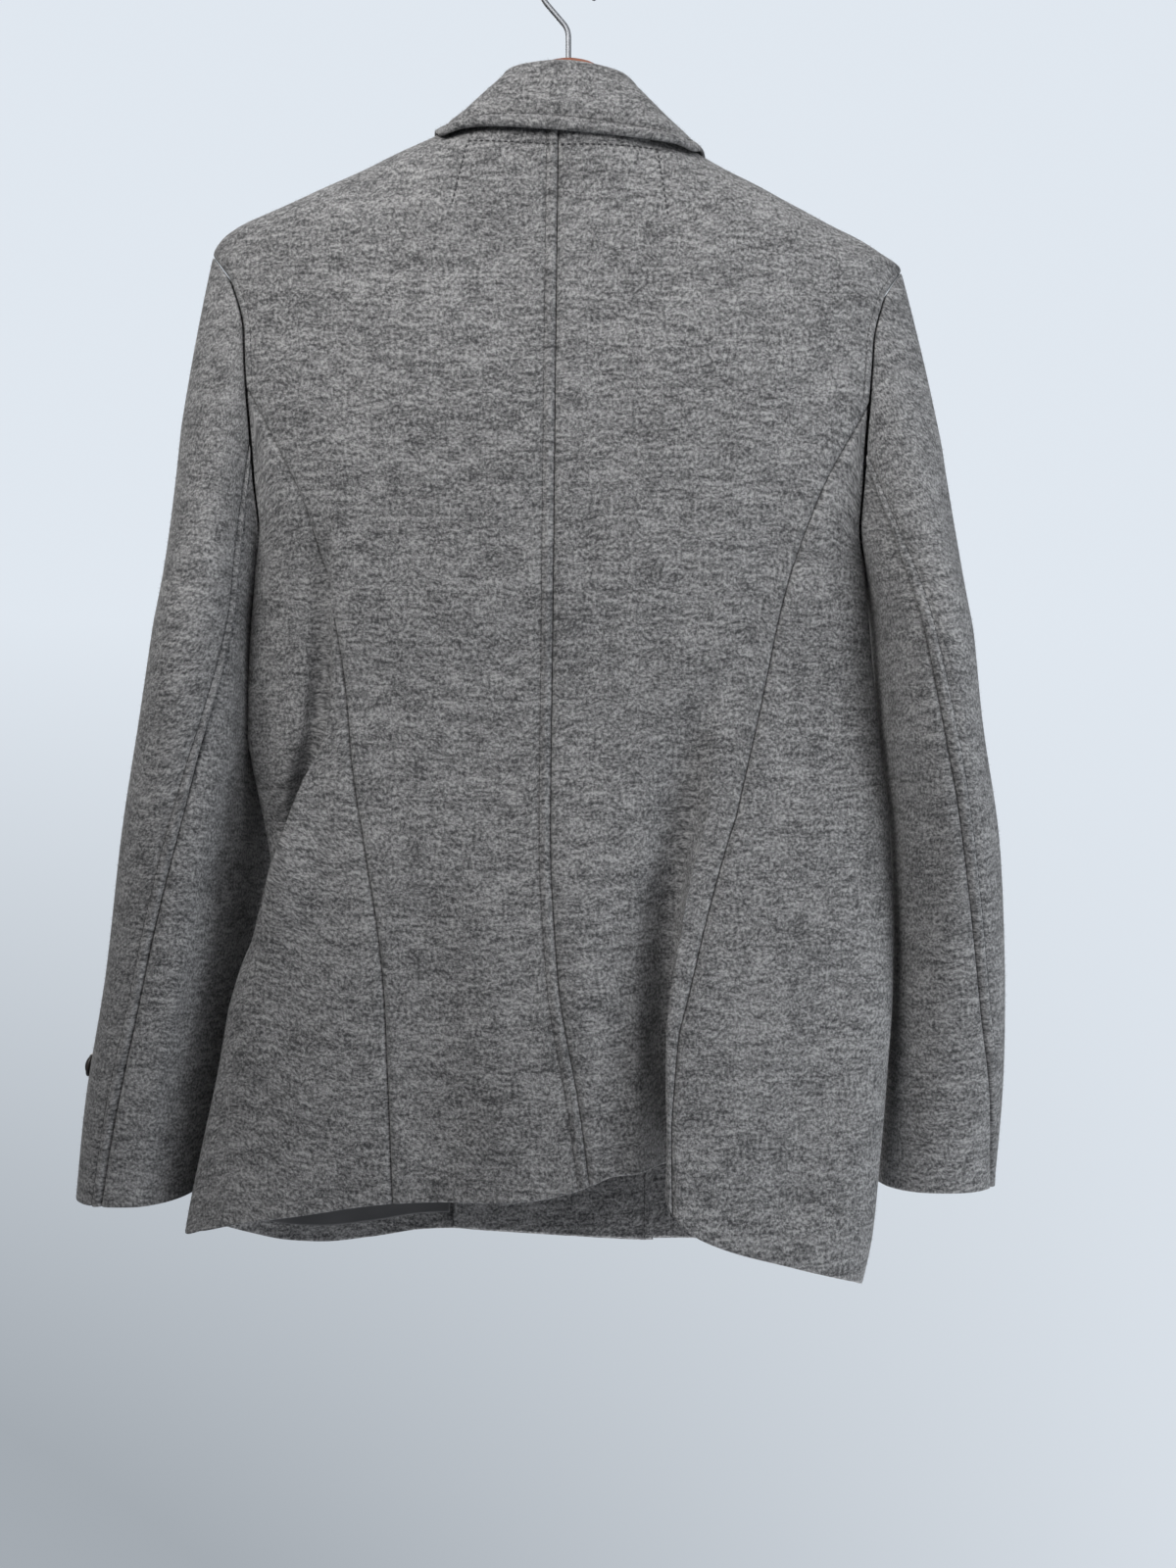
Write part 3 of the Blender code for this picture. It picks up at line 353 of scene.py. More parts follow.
def body(angle, z, rise=0.0):
    """Outer face of the coat's body; rise lifts the lapped part of the right front."""
    angle, z = np.broadcast_arrays(np.asarray(angle, float), np.asarray(z, float))
    c = np.cos(np.radians(angle))
    back, facing = c >= 0, np.abs(c)
    half, x = straight_across(angle, z)
    y = depth(back, z) * squared(c, 2 / roundness(back, z))
    for fold in FOLDS:
        grown = np.clip((fold["top"] - z) / (fold["top"] - HEM_LEVEL), 0, FOLD_MOST)
        rising = grown * bump(x - fold["line"]("x", z), fold["toward_left"], fold["toward_right"])
        y = y + np.where(back, fold["depth"] * rising, 0)
    y = y - np.where(back, hollow(x, z) * part_way(facing, HOLLOW_SIDE), 0)
    low = part_way(TUCK_TOP - z, TUCK_DROP) * part_way(x - TUCK_EDGE, TUCK_RUN)
    y = y - np.where(back, SKIRT_TUCK * low * part_way(facing, TUCK_SIDE), 0)
    y = y - np.where(back, 0, eased(part_way(x - LAP_EDGE, LAP_RUN), rise))
    low = part_way(LEAN_TOP - z, LEAN_DROP)
    shift = np.where(back, FOLD_LEAN * low * bump(x - LEAN_LINE, *LEAN_FLANKS), 0)
    shift = shift - WAIST_PULL * drawn_in(x / half, z)
    ridge = bump(x - HOLLOW("x", z) + RIDGE_BEFORE, *RIDGE_FLANKS) * HOLLOW("level", z)
    shift = shift + np.where(back, RIDGE_LEAN * ridge, 0)
    return np.stack([x + shift, y, z], axis=-1)


def outward(surface, angle, z):
    """Unit normals of a surface of the body."""
    across = surface(angle + NORMAL_TURN, z) - surface(angle - NORMAL_TURN, z)
    upward = surface(angle, z + NORMAL_RISE) - surface(angle, z - NORMAL_RISE)
    return unit(np.cross(upward, across))


def seam_angle(table, z):
    """Angle round the body of a seam of the back."""
    return angle_of(table("x", z), z, False)


def armhole_angle(side, which, z):
    """Angle of the armhole seam at a height between the underarm and the shoulder tip."""
    tip = SHOULDER[side]
    share = ARMHOLE(which, (np.asarray(z, float) - UNDERARM) / (tip - UNDERARM))
    power = DEPTH(which + "_round", z) / 2
    turn = np.degrees(np.arcsin(np.clip(share, 0, 1) ** power))
    turn = turn if which == "back" else 180 - turn
    return turn if side == "left" else -turn


def neck_height(side, which, angle):
    """Height of the neck seam at an angle round the body."""
    low, high = (np.full(np.shape(angle), height) for height in NECK_REACH)
    for _ in range(30):
        middle = (low + high) / 2
        above = middle > NECK[side](which, np.abs(body(angle, middle)[..., 0]))
        low, high = np.where(above, low, middle), np.where(above, middle, high)
    return (low + high) / 2


def hem_height(angle, z):
    """Height of the hem at an angle round the body, close to a height."""
    x = straight_across(angle, z)[1]
    back = np.cos(np.radians(angle)) >= 0
    return np.where(back, HEM_BACK("height", x), HEM_FRONT("height", x))


def hem_at(edge):
    """Height where an edge meets the hem."""
    z = HEM_GUESS
    for _ in range(12):
        z = float(hem_height(np.array(edge(z)), z))
    return z


def crossing(side):
    """Height where a princess seam meets the armhole."""
    low, high = UNDERARM, PRINCESS_TOP
    for _ in range(40):
        middle = (low + high) / 2
        if abs(seam_angle(PRINCESS[side], middle)) < abs(armhole_angle(side, "back", middle)):
            low = middle
        else:
            high = middle
    return (low + high) / 2


def run(start, end, count):
    """Heights from one to another in even steps."""
    return np.linspace(start, end, count + 1)


def chain(*parts):
    """Runs joined end to end, each shared height once."""
    return np.concatenate([parts[0]] + [p[1:] for p in parts[1:]])


def spread(edges, z_in, z_out, columns, high=None):
    """Angles and heights of a piece's grid from edge to edge, hem row first."""
    shares = [np.linspace(0, 1, n + 1)[None, :] for n in columns]
    u = np.concatenate([(i + share[:, 1 if i else 0:]) / len(columns)
                        for i, share in enumerate(shares)], axis=1)
    k = np.linspace(0, 1, len(z_in))[:, None]
    level = z_in[:, None] * (1 - u) + z_out[:, None] * u

    def angles(z):
        place = u * len(columns)
        result = 0
        for i, edge in enumerate(edges):
            result = result + edge(z) * np.clip(1 - np.abs(place - i), 0, 1)
        return result

    z = level
    for _ in range(8):
        angle = angles(z)
        low_fix = hem_height(angle[0], z[0]) - level[0]
        top_fix = high(angle[-1]) - level[-1] if high else 0 * level[-1]
        low_fix[[0, -1]] = top_fix[[0, -1]] = 0
        z = level + low_fix * (1 - k) ** 2 + top_fix * k ** 2
    return angles(z), z


# Distances of a piece's outer columns from a seam with topstitching and from a plain one, and
# places of its outer rows between the first two.
SEWN_STEPS = np.array([0, 0.0003, 0.0009, 0.0017, 0.0030, 0.0046, 0.0060, 0.0070, 0.0080,
                       0.0096, 0.0120])
PLAIN_STEPS = np.array([0, 0.0003, 0.0009, 0.0018, 0.0034])
ROW_EASE = np.array([0.0, 0.10, 0.27, 0.50, 0.75])
CROWDED = 1.3           # a row narrower than so many times its outer columns draws them together


def thick_rows(values):
    """The same rows with more of them close to both ends."""
    last = len(values) - 1
    place = np.concatenate([ROW_EASE, np.arange(1, last), last - ROW_EASE[::-1]])
    low = np.minimum(place.astype(int), last - 1)
    share = (place - low).reshape((-1,) + (1,) * (values.ndim - 1))
    return values[low] * (1 - share) + values[low + 1] * share


def even_columns(line, step, first, last, *carried):
    """Values carried by a grid, moved to columns close by the seams and even between."""
    gone = lengths(line, 1)
    width = gone[:, -1]
    middle = max(3, int(round((width.max() - first[-1] - last[-1]) / step)))
    result = [[] for _ in carried]
    for r in range(len(line)):
        fit = min(1.0, width[r] / (CROWDED * (first[-1] + last[-1])))
        start, end = first * fit, width[r] - last[::-1] * fit
        place = np.concatenate([start, np.linspace(start[-1], end[0], middle + 1)[1:-1], end])
        for values, kept in zip(carried, result):
            flat = values[r].reshape(values.shape[1], -1)
            kept.append(np.stack([np.interp(place, gone[r], flat[:, i])
                                  for i in range(flat.shape[1])], axis=-1))
    shaped = []
    for values, kept in zip(carried, result):
        kept = np.array(kept)
        shaped.append(kept[..., 0] if values.ndim == 2 else kept)
    return shaped


# Topstitching: its distance from a seam or an edge, how deep it draws the cloth in, and how far
# the cloth swells beside it.
ARMHOLE_STITCH = dict(distance=0.0055, deep=0.0005, swell=0.0006)
CENTRE_STITCH = dict(distance=0.0072, deep=0.0012, swell=0.0009)
SLEEVE_STITCH = dict(distance=0.0076, deep=0.0014, swell=0.0011)
FRONT_STITCH = dict(distance=0.0062, deep=0.0008, swell=0.0006)
COLLAR_STITCH = dict(distance=0.0088, deep=0.0020, swell=0.0016)
STITCH_WIDTH = 0.0017   # half width of the groove that topstitching draws
THREAD_LIFT = 0.00015   # thread's middle off the cloth
SEAM_SINK = 0.0025      # how deep a seam draws the cloth in
SEAM_REACH = 0.0014     # how far from the seam that fades
HOLE_SINK = 0.0006      # how deep the armhole draws the sleeve head in
SOFT = 0.8              # power that fills out a half wave
FLAT_SPARE = 1.001      # keeps a flat size just larger than its area

# Paths of the threads, gathered while the cloth is made.
PATHS = {"topstitching": [], "buttonholes": [], "pick_stitching": []}


class Piece:
    """One cut piece of cloth: points, normals, distances from its edges, place in the cut."""

    def __init__(self, points, normals, zero_row=0, turned=False):
        self.points, self.normals = points, normals
        self.first, self.low = lengths(points, 1), lengths(points, 0)
        self.last, self.top = self.first[:, -1:] - self.first, self.low[-1:] - self.low
        middle = points.shape[1] // 2
        fall = lengths(points[..., 1:], 0)
        way = np.sign(points[:, -1, 0].mean() - points[:, 0, 0].mean())
        u = self.first - self.first[:, middle][:, None] + way * points[:, middle, 0][:, None]
        v = fall - fall[zero_row][None, :]
        if turned:
            u, v = self.low - self.low[zero_row][None, :], self.first
        self.cut = np.stack([u, v], axis=-1)
        self.lift = np.zeros(points.shape[:2])

    def flat(self):
        """Width, length and area of the cut."""
        size = np.ptp(self.cut.reshape(-1, 2), axis=0)
        a = self.points[1:, :-1] - self.points[:-1, :-1]
        b = self.points[:-1, 1:] - self.points[:-1, :-1]
        area = np.linalg.norm(np.cross(a, b), axis=-1).sum()
        size = size * max(1.0, math.sqrt(area / (size[0] * size[1])) * FLAT_SPARE)
        return (float(size[0]), float(size[1])), float(area)

    def outer(self):
        """Points of the outer face, with all that lifts or sinks it."""
        return self.points + self.normals * self.lift[..., None]

    def sew(self, edge, stitch, keep=None):
        """Draws the cloth down along a line of topstitching and swells it towards the edge."""
        away, distance = getattr(self, edge), stitch["distance"]
        groove = -stitch["deep"] * np.exp(-((away - distance) / STITCH_WIDTH) ** 2)
        swell = stitch["swell"] * np.sin(np.pi * part_way(away, distance)) ** SOFT
        weight = 1.0 if keep is None else keep[:, None]
        self.lift = self.lift + (groove + swell) * weight

    def sink(self, *edges, deep=SEAM_SINK):
        """Draws the cloth in along its seams."""
        for edge in edges:
            self.lift = self.lift - deep * np.exp(-getattr(self, edge) / SEAM_REACH)

    def line(self, edge, distance, keep=None):
        """Path of a thread on the cloth, at a distance from an edge."""
        away, outer = getattr(self, edge), self.outer() + self.normals * THREAD_LIFT
        if edge in ("low", "top"):
            away, outer = away.T, outer.transpose(1, 0, 2)
        rows = range(len(away)) if keep is None else np.where(keep > 0.5)[0]
        path = []
        for r in rows:
            order = np.argsort(away[r])
            path.append([np.interp(distance, away[r][order], outer[r][order, i])
                         for i in range(3)])
        return np.array(path)

    def topstitch(self, edge, stitch, keep=None, ends=(0, None)):
        """Topstitching along an edge: the cloth drawn in, and the thread's path between ends."""
        self.sew(edge, stitch, keep)
        PATHS["topstitching"].append(self.line(edge, stitch["distance"], keep)[slice(*ends)])


# Slight waviness of worn cloth: radians a metre across and along, start and height of each wave.
WAVES = ((71, 23, 0.4, 0.00030), (-47, 61, 1.9, 0.00028), (113, -38, 4.0, 0.00018),
         (29, 97, 2.7, 0.00024), (-139, -81, 5.1, 0.00012))
# How far a crease of the body strays from its straight line, how often, and where it starts.
CREASE_WANDER, WANDER_RATE, WANDER_START = 0.004, 7.0, 2.0
WANDER_SPREAD = 40      # sets the creases apart by their places across


def uneven(u, v):
    """Height of the slight waviness at places of the cloth."""
    total = 0
    for across, along, start, height in WAVES:
        total = total + height * np.sin(across * u + along * v + start)
    return total


def crease(across, up, dx, dz, width, depth, wander=0.0, start=0.0):
    """Height of one crease at places told from its upper end; dx and dz lead to its lower end."""
    t = (across * dx + up * dz) / (dx * dx + dz * dz)
    off = (across * dz - up * dx) / math.hypot(dx, dz)
    off = off + wander * np.sin(WANDER_START + WANDER_RATE * t + start)
    fade = np.sin(np.pi * np.clip(t, 0, 1)) ** SOFT
    return depth * np.exp(-(off / width) ** 2) * fade


def creases(rows, x, z):
    """Height of a list of the body's creases at places of the cloth."""
    total = np.zeros(np.shape(x))
    for x_top, z_top, x_low, z_low, width, depth in rows:
        total = total + crease(x - x_top, z - z_top, x_low - x_top, z_low - z_top, width, depth,
                               CREASE_WANDER, WANDER_SPREAD * x_top)
    return total


ARMHOLE_HALF_DEPTH = 0.032
MITER_REACH = 0.008     # how far from an armhole its normals lean
MITER_SLACK = 0.001     # they lean so far past the armhole's two ends too


def miter(piece, side, away, z):
    """Leans the normals by an armhole towards its own radius, so that body and sleeve meet."""
    tip = SHOULDER[side]
    middle, half = (tip + UNDERARM) / 2, (tip - UNDERARM) / 2
    radius = piece.points * 0
    radius[..., 1] = piece.points[..., 1] / ARMHOLE_HALF_DEPTH ** 2
    radius[..., 2] = (piece.points[..., 2] - middle) / half ** 2
    inside = (z > UNDERARM - MITER_SLACK) & (z < tip + MITER_SLACK)
    weight = np.clip(1 - away / MITER_REACH, 0, 1) * inside
    piece.normals = unit(piece.normals + unit(radius) * weight[..., None])


# Steps between columns, rows between the hem and the shoulder, and columns to start from.
BACK_STEP, FRONT_STEP = 0.0036, 0.0052
BACK_ROWS = dict(below=106, arm=30, tip=28, shoulder=42)
FRONT_ROWS = dict(below=76, arm=22, tip=20, shoulder=32)
BACK_COLUMNS, SIDE_COLUMNS, FRONT_COLUMNS = (150,), (60,), (70, 60)


def body_piece(edges, heights, counts, below, high=None, rise=0.0, inward=0.0, part=None,
               step=BACK_STEP, first=PLAIN_STEPS, last=PLAIN_STEPS):
    """A piece of the body's outer face, with its creases."""
    def surface(angle, z):
        return body(angle, z, rise)

    angle, z = spread(edges, *heights, counts, high)
    if part is not None:
        angle, z = angle[:, part], z[:, part]
    angle, z = thick_rows(angle), thick_rows(z)
    angle, z = even_columns(surface(angle, z), step, first, last, angle, z)
    normals = outward(surface, angle, z)
    points = surface(angle, z)
    c = np.cos(np.radians(angle))
    side_fade = part_way(np.abs(c), CREASE_SIDE)
    lift = np.where(c >= 0, creases(BACK_CREASES, points[..., 0], z),
                    creases(FRONT_CREASES, points[..., 0], z)) * side_fade
    piece = Piece(points - normals * inward, normals, below + len(ROW_EASE) - 1)
    piece.lift = lift + uneven(points[..., 0], z) * side_fade
    piece.z = z
    return piece


EDGE_ROUND = 0.40       # radius of a shell's edge, as a share of its wall
ROLL_END = 0.995        # keeps the end of a rounded edge just short of upright
CUT_STEP = np.array([3.1, 1.7])     # sets the fibres of one piece apart from the next one's
CUT_INSIDE = 0.37       # and those of its inside from its outside
SHELLS = {}             # points and faces of each shell's outer face


def rolled(distance, radius):
    """How far a rounded edge has dropped at a distance from it."""
    inside = np.clip(radius - distance, 0, radius)
    return radius - np.sqrt(radius ** 2 - ROLL_END * inside ** 2)


def add_piece(name, mesh):
    """A mesh as a piece that rides on the root."""
    made = bpy.data.objects.new(name, mesh)
    bpy.context.scene.collection.objects.link(made)
    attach(made, "root")
    return made


def mesh_piece(name, node, points, faces, look, cut=None):
    """A smooth piece in place of a node."""
    mesh = bpy.data.meshes.new(name)
    mesh.from_pydata(np.asarray(points).tolist(), [], [list(map(int, f)) for f in faces])
    mesh.polygons.foreach_set("use_smooth", np.ones(len(mesh.polygons), bool))
    if cut is not None:
        corner = np.empty(len(mesh.loops), int)
        mesh.loops.foreach_get("vertex_index", corner)
        layer = mesh.uv_layers.new(name="cut")
        layer.data.foreach_set("uv", np.asarray(cut, float)[corner].ravel())
    mesh.materials.append(look)
    mesh.update()
    made = add_piece(name, mesh)
    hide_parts(node)
    return made


def shell(name, node, piece, thick, look, rests_on):
    """Closed thin shell with rounded edges, in place of a node."""
    rows, columns = piece.points.shape[:2]
    nearest = np.minimum(np.minimum(piece.first, piece.last), np.minimum(piece.low, piece.top))
    drop = rolled(nearest, thick * EDGE_ROUND)
    outer = piece.points + piece.normals * (piece.lift - drop)[..., None]
    inner = piece.points + piece.normals * (piece.lift - thick + drop)[..., None]
    points = np.concatenate([outer.reshape(-1, 3), inner.reshape(-1, 3)])
    base = rows * columns
    index = np.arange(base).reshape(rows, columns)
    quads = np.stack([index[:-1, :-1], index[:-1, 1:], index[1:, 1:], index[1:, :-1]], axis=-1)
    quads = quads.reshape(-1, 4)
    ring = np.concatenate([index[0, :-1], index[:-1, -1], index[-1, :0:-1], index[:0:-1, 0]])
    after = np.roll(ring, -1)
    rim = np.stack([after, ring, ring + base, after + base], axis=-1)
    a = points[quads[:, 1]] - points[quads[:, 0]]
    b = points[quads[:, 3]] - points[quads[:, 0]]
    facing = (np.cross(a, b) * piece.normals[:-1, :-1].reshape(-1, 3)).sum()
    faces = np.concatenate([quads, quads[:, ::-1] + base, rim])
    if facing < 0:
        faces = faces[:, ::-1]
    flat = piece.cut.reshape(-1, 2)
    cut = np.concatenate([flat, flat + CUT_INSIDE]) + CUT_STEP * (len(SHELLS) + 1)
    SHELLS[name] = (points[:base], faces[:len(quads)])
    made = mesh_piece(name, node, points, faces, look, cut)
    size, area = piece.flat()


TUCK_REACH = 8          # how far a drawn-back edge takes the cloth along, in its own distances


def tuck(piece, **sides):
    """Draws the named edges of a piece back, with the rows or columns beside them."""
    for side, distance in sides.items():
        away, grid = getattr(piece, side), piece.points
        way = np.gradient(grid, axis=1 if side in ("first", "last") else 0)
        way = way if side in ("first", "low") else -way
        share = np.clip(1 - away / (distance * TUCK_REACH), 0, 1)
        piece.points = grid + unit(way) * (distance * share)[..., None]


# Lines of pick stitching by the back neck: two darts and a line between their tops.
PICKED = {
    "left": [((0.0620, -0.1310), (0.0696, -0.1670)), ((0.0600, -0.1275), (0.0080, -0.1325))],
    "right": [((-0.0549, -0.1340), (-0.0608, -0.1740)), ((0.0030, -0.1328), (-0.0545, -0.1325))],
}
PICK_DEPTH, PICK_WIDTH = 0.0007, 0.0020
PICK_POINTS = 24
PICK_LIFT = 0.0003      # thread's middle off the cloth
PICK_NEAR = 0.0002      # keeps the weight of the nearest point in bounds


def pick(piece, start, end):
    """A line of small stitches drawn into the cloth."""
    x, z = piece.points[..., 0], piece.points[..., 2]
    dx, dz = end[0] - start[0], end[1] - start[1]
    t = np.clip(((x - start[0]) * dx + (z - start[1]) * dz) / (dx * dx + dz * dz), 0, 1)
    off = np.hypot(x - start[0] - t * dx, z - start[1] - t * dz)
    piece.lift = piece.lift - PICK_DEPTH * np.exp(-(off / PICK_WIDTH) ** 2)
    share = np.linspace(0, 1, PICK_POINTS)
    wide, high = start[0] + dx * share, start[1] + dz * share
    near = 1 / (np.hypot(x[..., None] - wide, z[..., None] - high) + PICK_NEAR) ** 4
    lift = (piece.lift[..., None] * near).sum(axis=(0, 1)) / near.sum(axis=(0, 1))
    angle = angle_of(wide, high, False)
    path = body(angle, high) + outward(body, angle, high) * (lift + PICK_LIFT)[:, None]
    PATHS["pick_stitching"].append(path)


class Half:
    """Edges of the pieces of one half of the body, as angles by height."""

    def __init__(self, side):
        self.side, self.tip, self.cross = side, SHOULDER[side], crossing(side)
        self.turn = 0.0 if side == "left" else -360.0

    def centre(self, z):
        return seam_angle(CENTRE_BACK, z)

    def seam(self, z):
        return seam_angle(PRINCESS[self.side], z)

    def flank(self, z):
        return np.full(np.shape(z), 90.0 * SIGN[self.side])

    def armhole(self, which, z):
        """The armhole's edge beside it, and the flank below and above."""
        place = armhole_angle(self.side, which, np.clip(z, UNDERARM, self.tip))
        return np.where((z > UNDERARM) & (z < self.tip), place, self.flank(z))

    def outer_back(self, z):
        return np.where(z < self.cross, self.seam(z), self.armhole("back", z))

    def outer_side(self, z):
        return self.armhole("back", z)

    def outer_front(self, z):
        return self.armhole("front", z)

    def facing_edge(self, z):
        return angle_of(FACING(self.side, z), z, True) + self.turn

    def front_edge(self, z):
        return angle_of(np.full(np.shape(z), FRONT_EDGE[self.side]), z, True) + self.turn

    def top_back(self, angle):
        """Height of the back's neck edge."""
        return neck_height(self.side, "back", angle)

    def top_front(self, angle):
        """Height of the front's neck edge, level past the middle."""
        past = np.sin(np.radians(angle)) * SIGN[self.side] <= 0
        return np.where(past, FRONT_TOP, neck_height(self.side, "front", angle)) - NECK_GAP


def below(edge, rows):
    """Heights along an edge from the hem to the underarm."""
    return run(hem_at(edge), UNDERARM, rows["below"])


TIP_CLEAR = 0.004       # armhole's topstitching ends below the shoulder tip
SIDE_CLEAR = 0.002      # side back's upper end below the crossing of its seams


def make_back(half, looks):
    """Back and side back of one half."""
    side, tip, cross, n = half.side, half.tip, half.cross, BACK_ROWS
    arm = chain(run(UNDERARM, cross, n["arm"]), run(cross, tip, n["tip"]))
    centre_top = float(half.top_back(np.array(half.centre(NECK_BACK))))
    z_in = chain(below(half.centre, n), arm, run(tip, centre_top, n["shoulder"]))
    z_out = chain(below(half.seam, n), arm, run(tip, NECK_POINT[side], n["shoulder"]))
    piece = body_piece((half.centre, half.outer_back), (z_in, z_out), BACK_COLUMNS, n["below"],
                       half.top_back, first=SEWN_STEPS if side == "left" else PLAIN_STEPS,
                       last=SEWN_STEPS)
    height = piece.z[:, -1]
    keep = ((height > cross) & (height < tip - TIP_CLEAR)).astype(float)
    miter(piece, side, piece.last, piece.z)
    piece.topstitch("last", ARMHOLE_STITCH, keep)
    if side == "left":
        piece.topstitch("first", CENTRE_STITCH, ends=(6, -2))
    for start, end in PICKED[side]:
        pick(piece, start, end)
    piece.sink("first", "last")
    shell("wool_back_" + side, "back_" + side, piece, CLOTH, looks["wool"],
          ["hanger_body"])

    arm = run(UNDERARM, cross - SIDE_CLEAR, n["arm"])
    heights = chain(below(half.seam, n), arm), chain(below(half.flank, n), arm)
    piece = body_piece((half.seam, half.outer_side), heights, SIDE_COLUMNS, n["below"])
    miter(piece, side, piece.last, piece.z)
    piece.sink("first", "last")
    shell("wool_side_back_" + side, "side_back_" + side, piece, CLOTH, looks["wool"],
          ["wool_back_" + side])


def make_front(half, looks):
    """Front of one half, with its facing and its lining."""
    side, tip, n = half.side, half.tip, FRONT_ROWS
    arm = n["arm"] + n["tip"]
    z_flank = chain(below(half.flank, n), run(UNDERARM, tip, arm),
                    run(tip, NECK_POINT[side], n["shoulder"]))
    z_edge = chain(below(half.front_edge, n), run(UNDERARM, FRONT_MIDWAY, arm),
                   run(FRONT_MIDWAY, FRONT_TOP, n["shoulder"]))
    edges = half.outer_front, half.facing_edge, half.front_edge
    rise = 0.0 if side == "left" else FRONT_RISE

    def layer(inward=0.0, part=None, last=SEWN_STEPS):
        return body_piece(edges, (z_flank, z_edge), FRONT_COLUMNS, n["below"], half.top_front,
                          rise, inward, part, FRONT_STEP, last=last)

    piece = layer()
    miter(piece, side, piece.first, piece.z)
    piece.sink("first")
    piece.topstitch("last", FRONT_STITCH, ends=(2, -2))
    shell("wool_front_" + side, "front_" + side, piece, CLOTH, looks["wool"],
          ["hanger_body"])

    piece = layer(CLOTH + LAYER, slice(FRONT_COLUMNS[0], None))
    tuck(piece, last=FACING_RISE, low=FACING_RISE, top=FACING_RISE)
    path = piece.line("last", FRONT_STITCH["distance"] - FACING_RISE)
    path = path - piece.normals[:, -1] * (CLOTH + 2 * THREAD_LIFT)
    PATHS["topstitching"].append(path[2:-2])
    shell("wool_facing_" + side, "facing_" + side, piece, CLOTH, looks["wool"],
          ["wool_front_" + side])

    piece = layer(CLOTH + LINING_GAP, slice(0, FRONT_COLUMNS[0] + 1), PLAIN_STEPS)
    tuck(piece, **LINING_INSET)
    shell("satin_lining_" + side, "lining_" + side, piece, LINING, looks["lining"],
          ["wool_front_" + side])


# The sleeves' tubes by height, as on the wearer's left, and the turns where their seams run.
SLEEVE_COLUMNS = "height x y half_width half_depth back_seam front_seam"
SLEEVE = {
    "left": Table(SLEEVE_COLUMNS, [
        (-0.420, 0.2286, 0.004, 0.0279, 0.070, 152, -100),
        (-0.480, 0.2337, 0.003, 0.0323, 0.069, 126, -108),
        (-0.560, 0.2423, -0.002, 0.0378, 0.066, 97, -118),
        (-0.640, 0.2520, -0.008, 0.0388, 0.061, 84, -128),
        (-0.710, 0.2655, -0.014, 0.0390, 0.055, 79, -138),
        (-0.783, 0.2772, -0.020, 0.0365, 0.049, 72, -146),
    ]),
    "right": Table(SLEEVE_COLUMNS, [
        (-0.420, 0.2230, -0.004, 0.0300, 0.070, 108, -112),
        (-0.480, 0.2280, -0.006, 0.0308, 0.069, 93, -120),
        (-0.560, 0.2390, -0.012, 0.0330, 0.066, 88, -130),
        (-0.640, 0.2420, -0.020, 0.0350, 0.061, 76, -140),
        (-0.710, 0.2408, -0.028, 0.0377, 0.056, 58, -150),
        (-0.777, 0.2365, -0.034, 0.0380, 0.050, 34, -160),
    ]),
}
SLEEVE_ROUND = 2.3      # how square a sleeve's ring is; 2 is an ellipse
# The left sleeve's inner side: the turn where its back turns sharply inward, the place that it
# runs straight to beside the front, and how fully, by height.
TURNED_IN = Table("height turn x y share", [
    (-0.400, 172, 0.2000, -0.034, 0.0), (-0.445, 162, 0.1985, -0.038, 0.45),
    (-0.497, 143, 0.1950, -0.046, 0.9), (-0.533, 131, 0.1910, -0.055, 1.0),
    (-0.569, 123, 0.1895, -0.059, 1.0), (-0.604, 117, 0.1935, -0.058, 1.0),
    (-0.640, 113, 0.2010, -0.051, 1.0), (-0.710, 110, 0.2130, -0.052, 0.9),
    (-0.783, 108, 0.2330, -0.052, 0.3),
])
TURNED_OUT = 268        # turn round the sleeve where its front starts
TURNED_BEND = 0.62      # share of the way between those turns where the inner place lies
CAP_SWELL = 0.0045      # how far the sleeve head stands out from a straight line
CAP_FLOOR, CAP_LEAN = 0.4, 0.6      # share of that all round, and what outer and inner have more
CAP_FADE = 0.4          # keeps it off the inner side
SLEEVE_STEP = 0.0040
CAP_COUNT, ARM_COUNT = 44, 86       # rows of the sleeve head and of the arm below it
TUBE_PASSES = 26        # how often the tube is softened along its length
LOOP_FINE = 40          # points of the armhole from its seams' crossing to either end
UNDER_HALF = LOOP_FINE * 3 // 4     # points of the under sleeve on each side of the underarm
BACK_SEAM, FRONT_SEAM = 2 * LOOP_FINE - UNDER_HALF, 2 * LOOP_FINE + UNDER_HALF

# Creases of the sleeves: turn round the sleeve (0 outward, 90 to the back) and height of the
# upper end, the same of the lower end, half width, depth.
TURN_REACH = 0.00085    # about how far one degree of turn goes
SLEEVE_CREASES = {
    "left": [
        (140, -0.470, 95, -0.540, 0.013, -0.0022), (60, -0.440, 110, -0.500, 0.015, 0.0016),
        (150, -0.560, 110, -0.620, 0.013, -0.0022), (-60, -0.500, -120, -0.560, 0.014, -0.0026),
        (-40, -0.580, -110, -0.620, 0.013, -0.0022), (50, -0.640, 75, -0.770, 0.016, 0.0016),
        (0, -0.300, 30, -0.420, 0.018, -0.0016),
    ],
    "right": [
        (150, -0.510, 100, -0.580, 0.013, -0.0030), (120, -0.560, 150, -0.650, 0.014, -0.0028),
        (70, -0.470, 100, -0.540, 0.015, 0.0016), (-60, -0.500, -120, -0.560, 0.014, -0.0026),
        (-40, -0.590, -110, -0.640, 0.013, -0.0022), (40, -0.620, 70, -0.760, 0.016, 0.0016),
        (10, -0.310, 35, -0.420, 0.018, -0.0016),
    ],
}


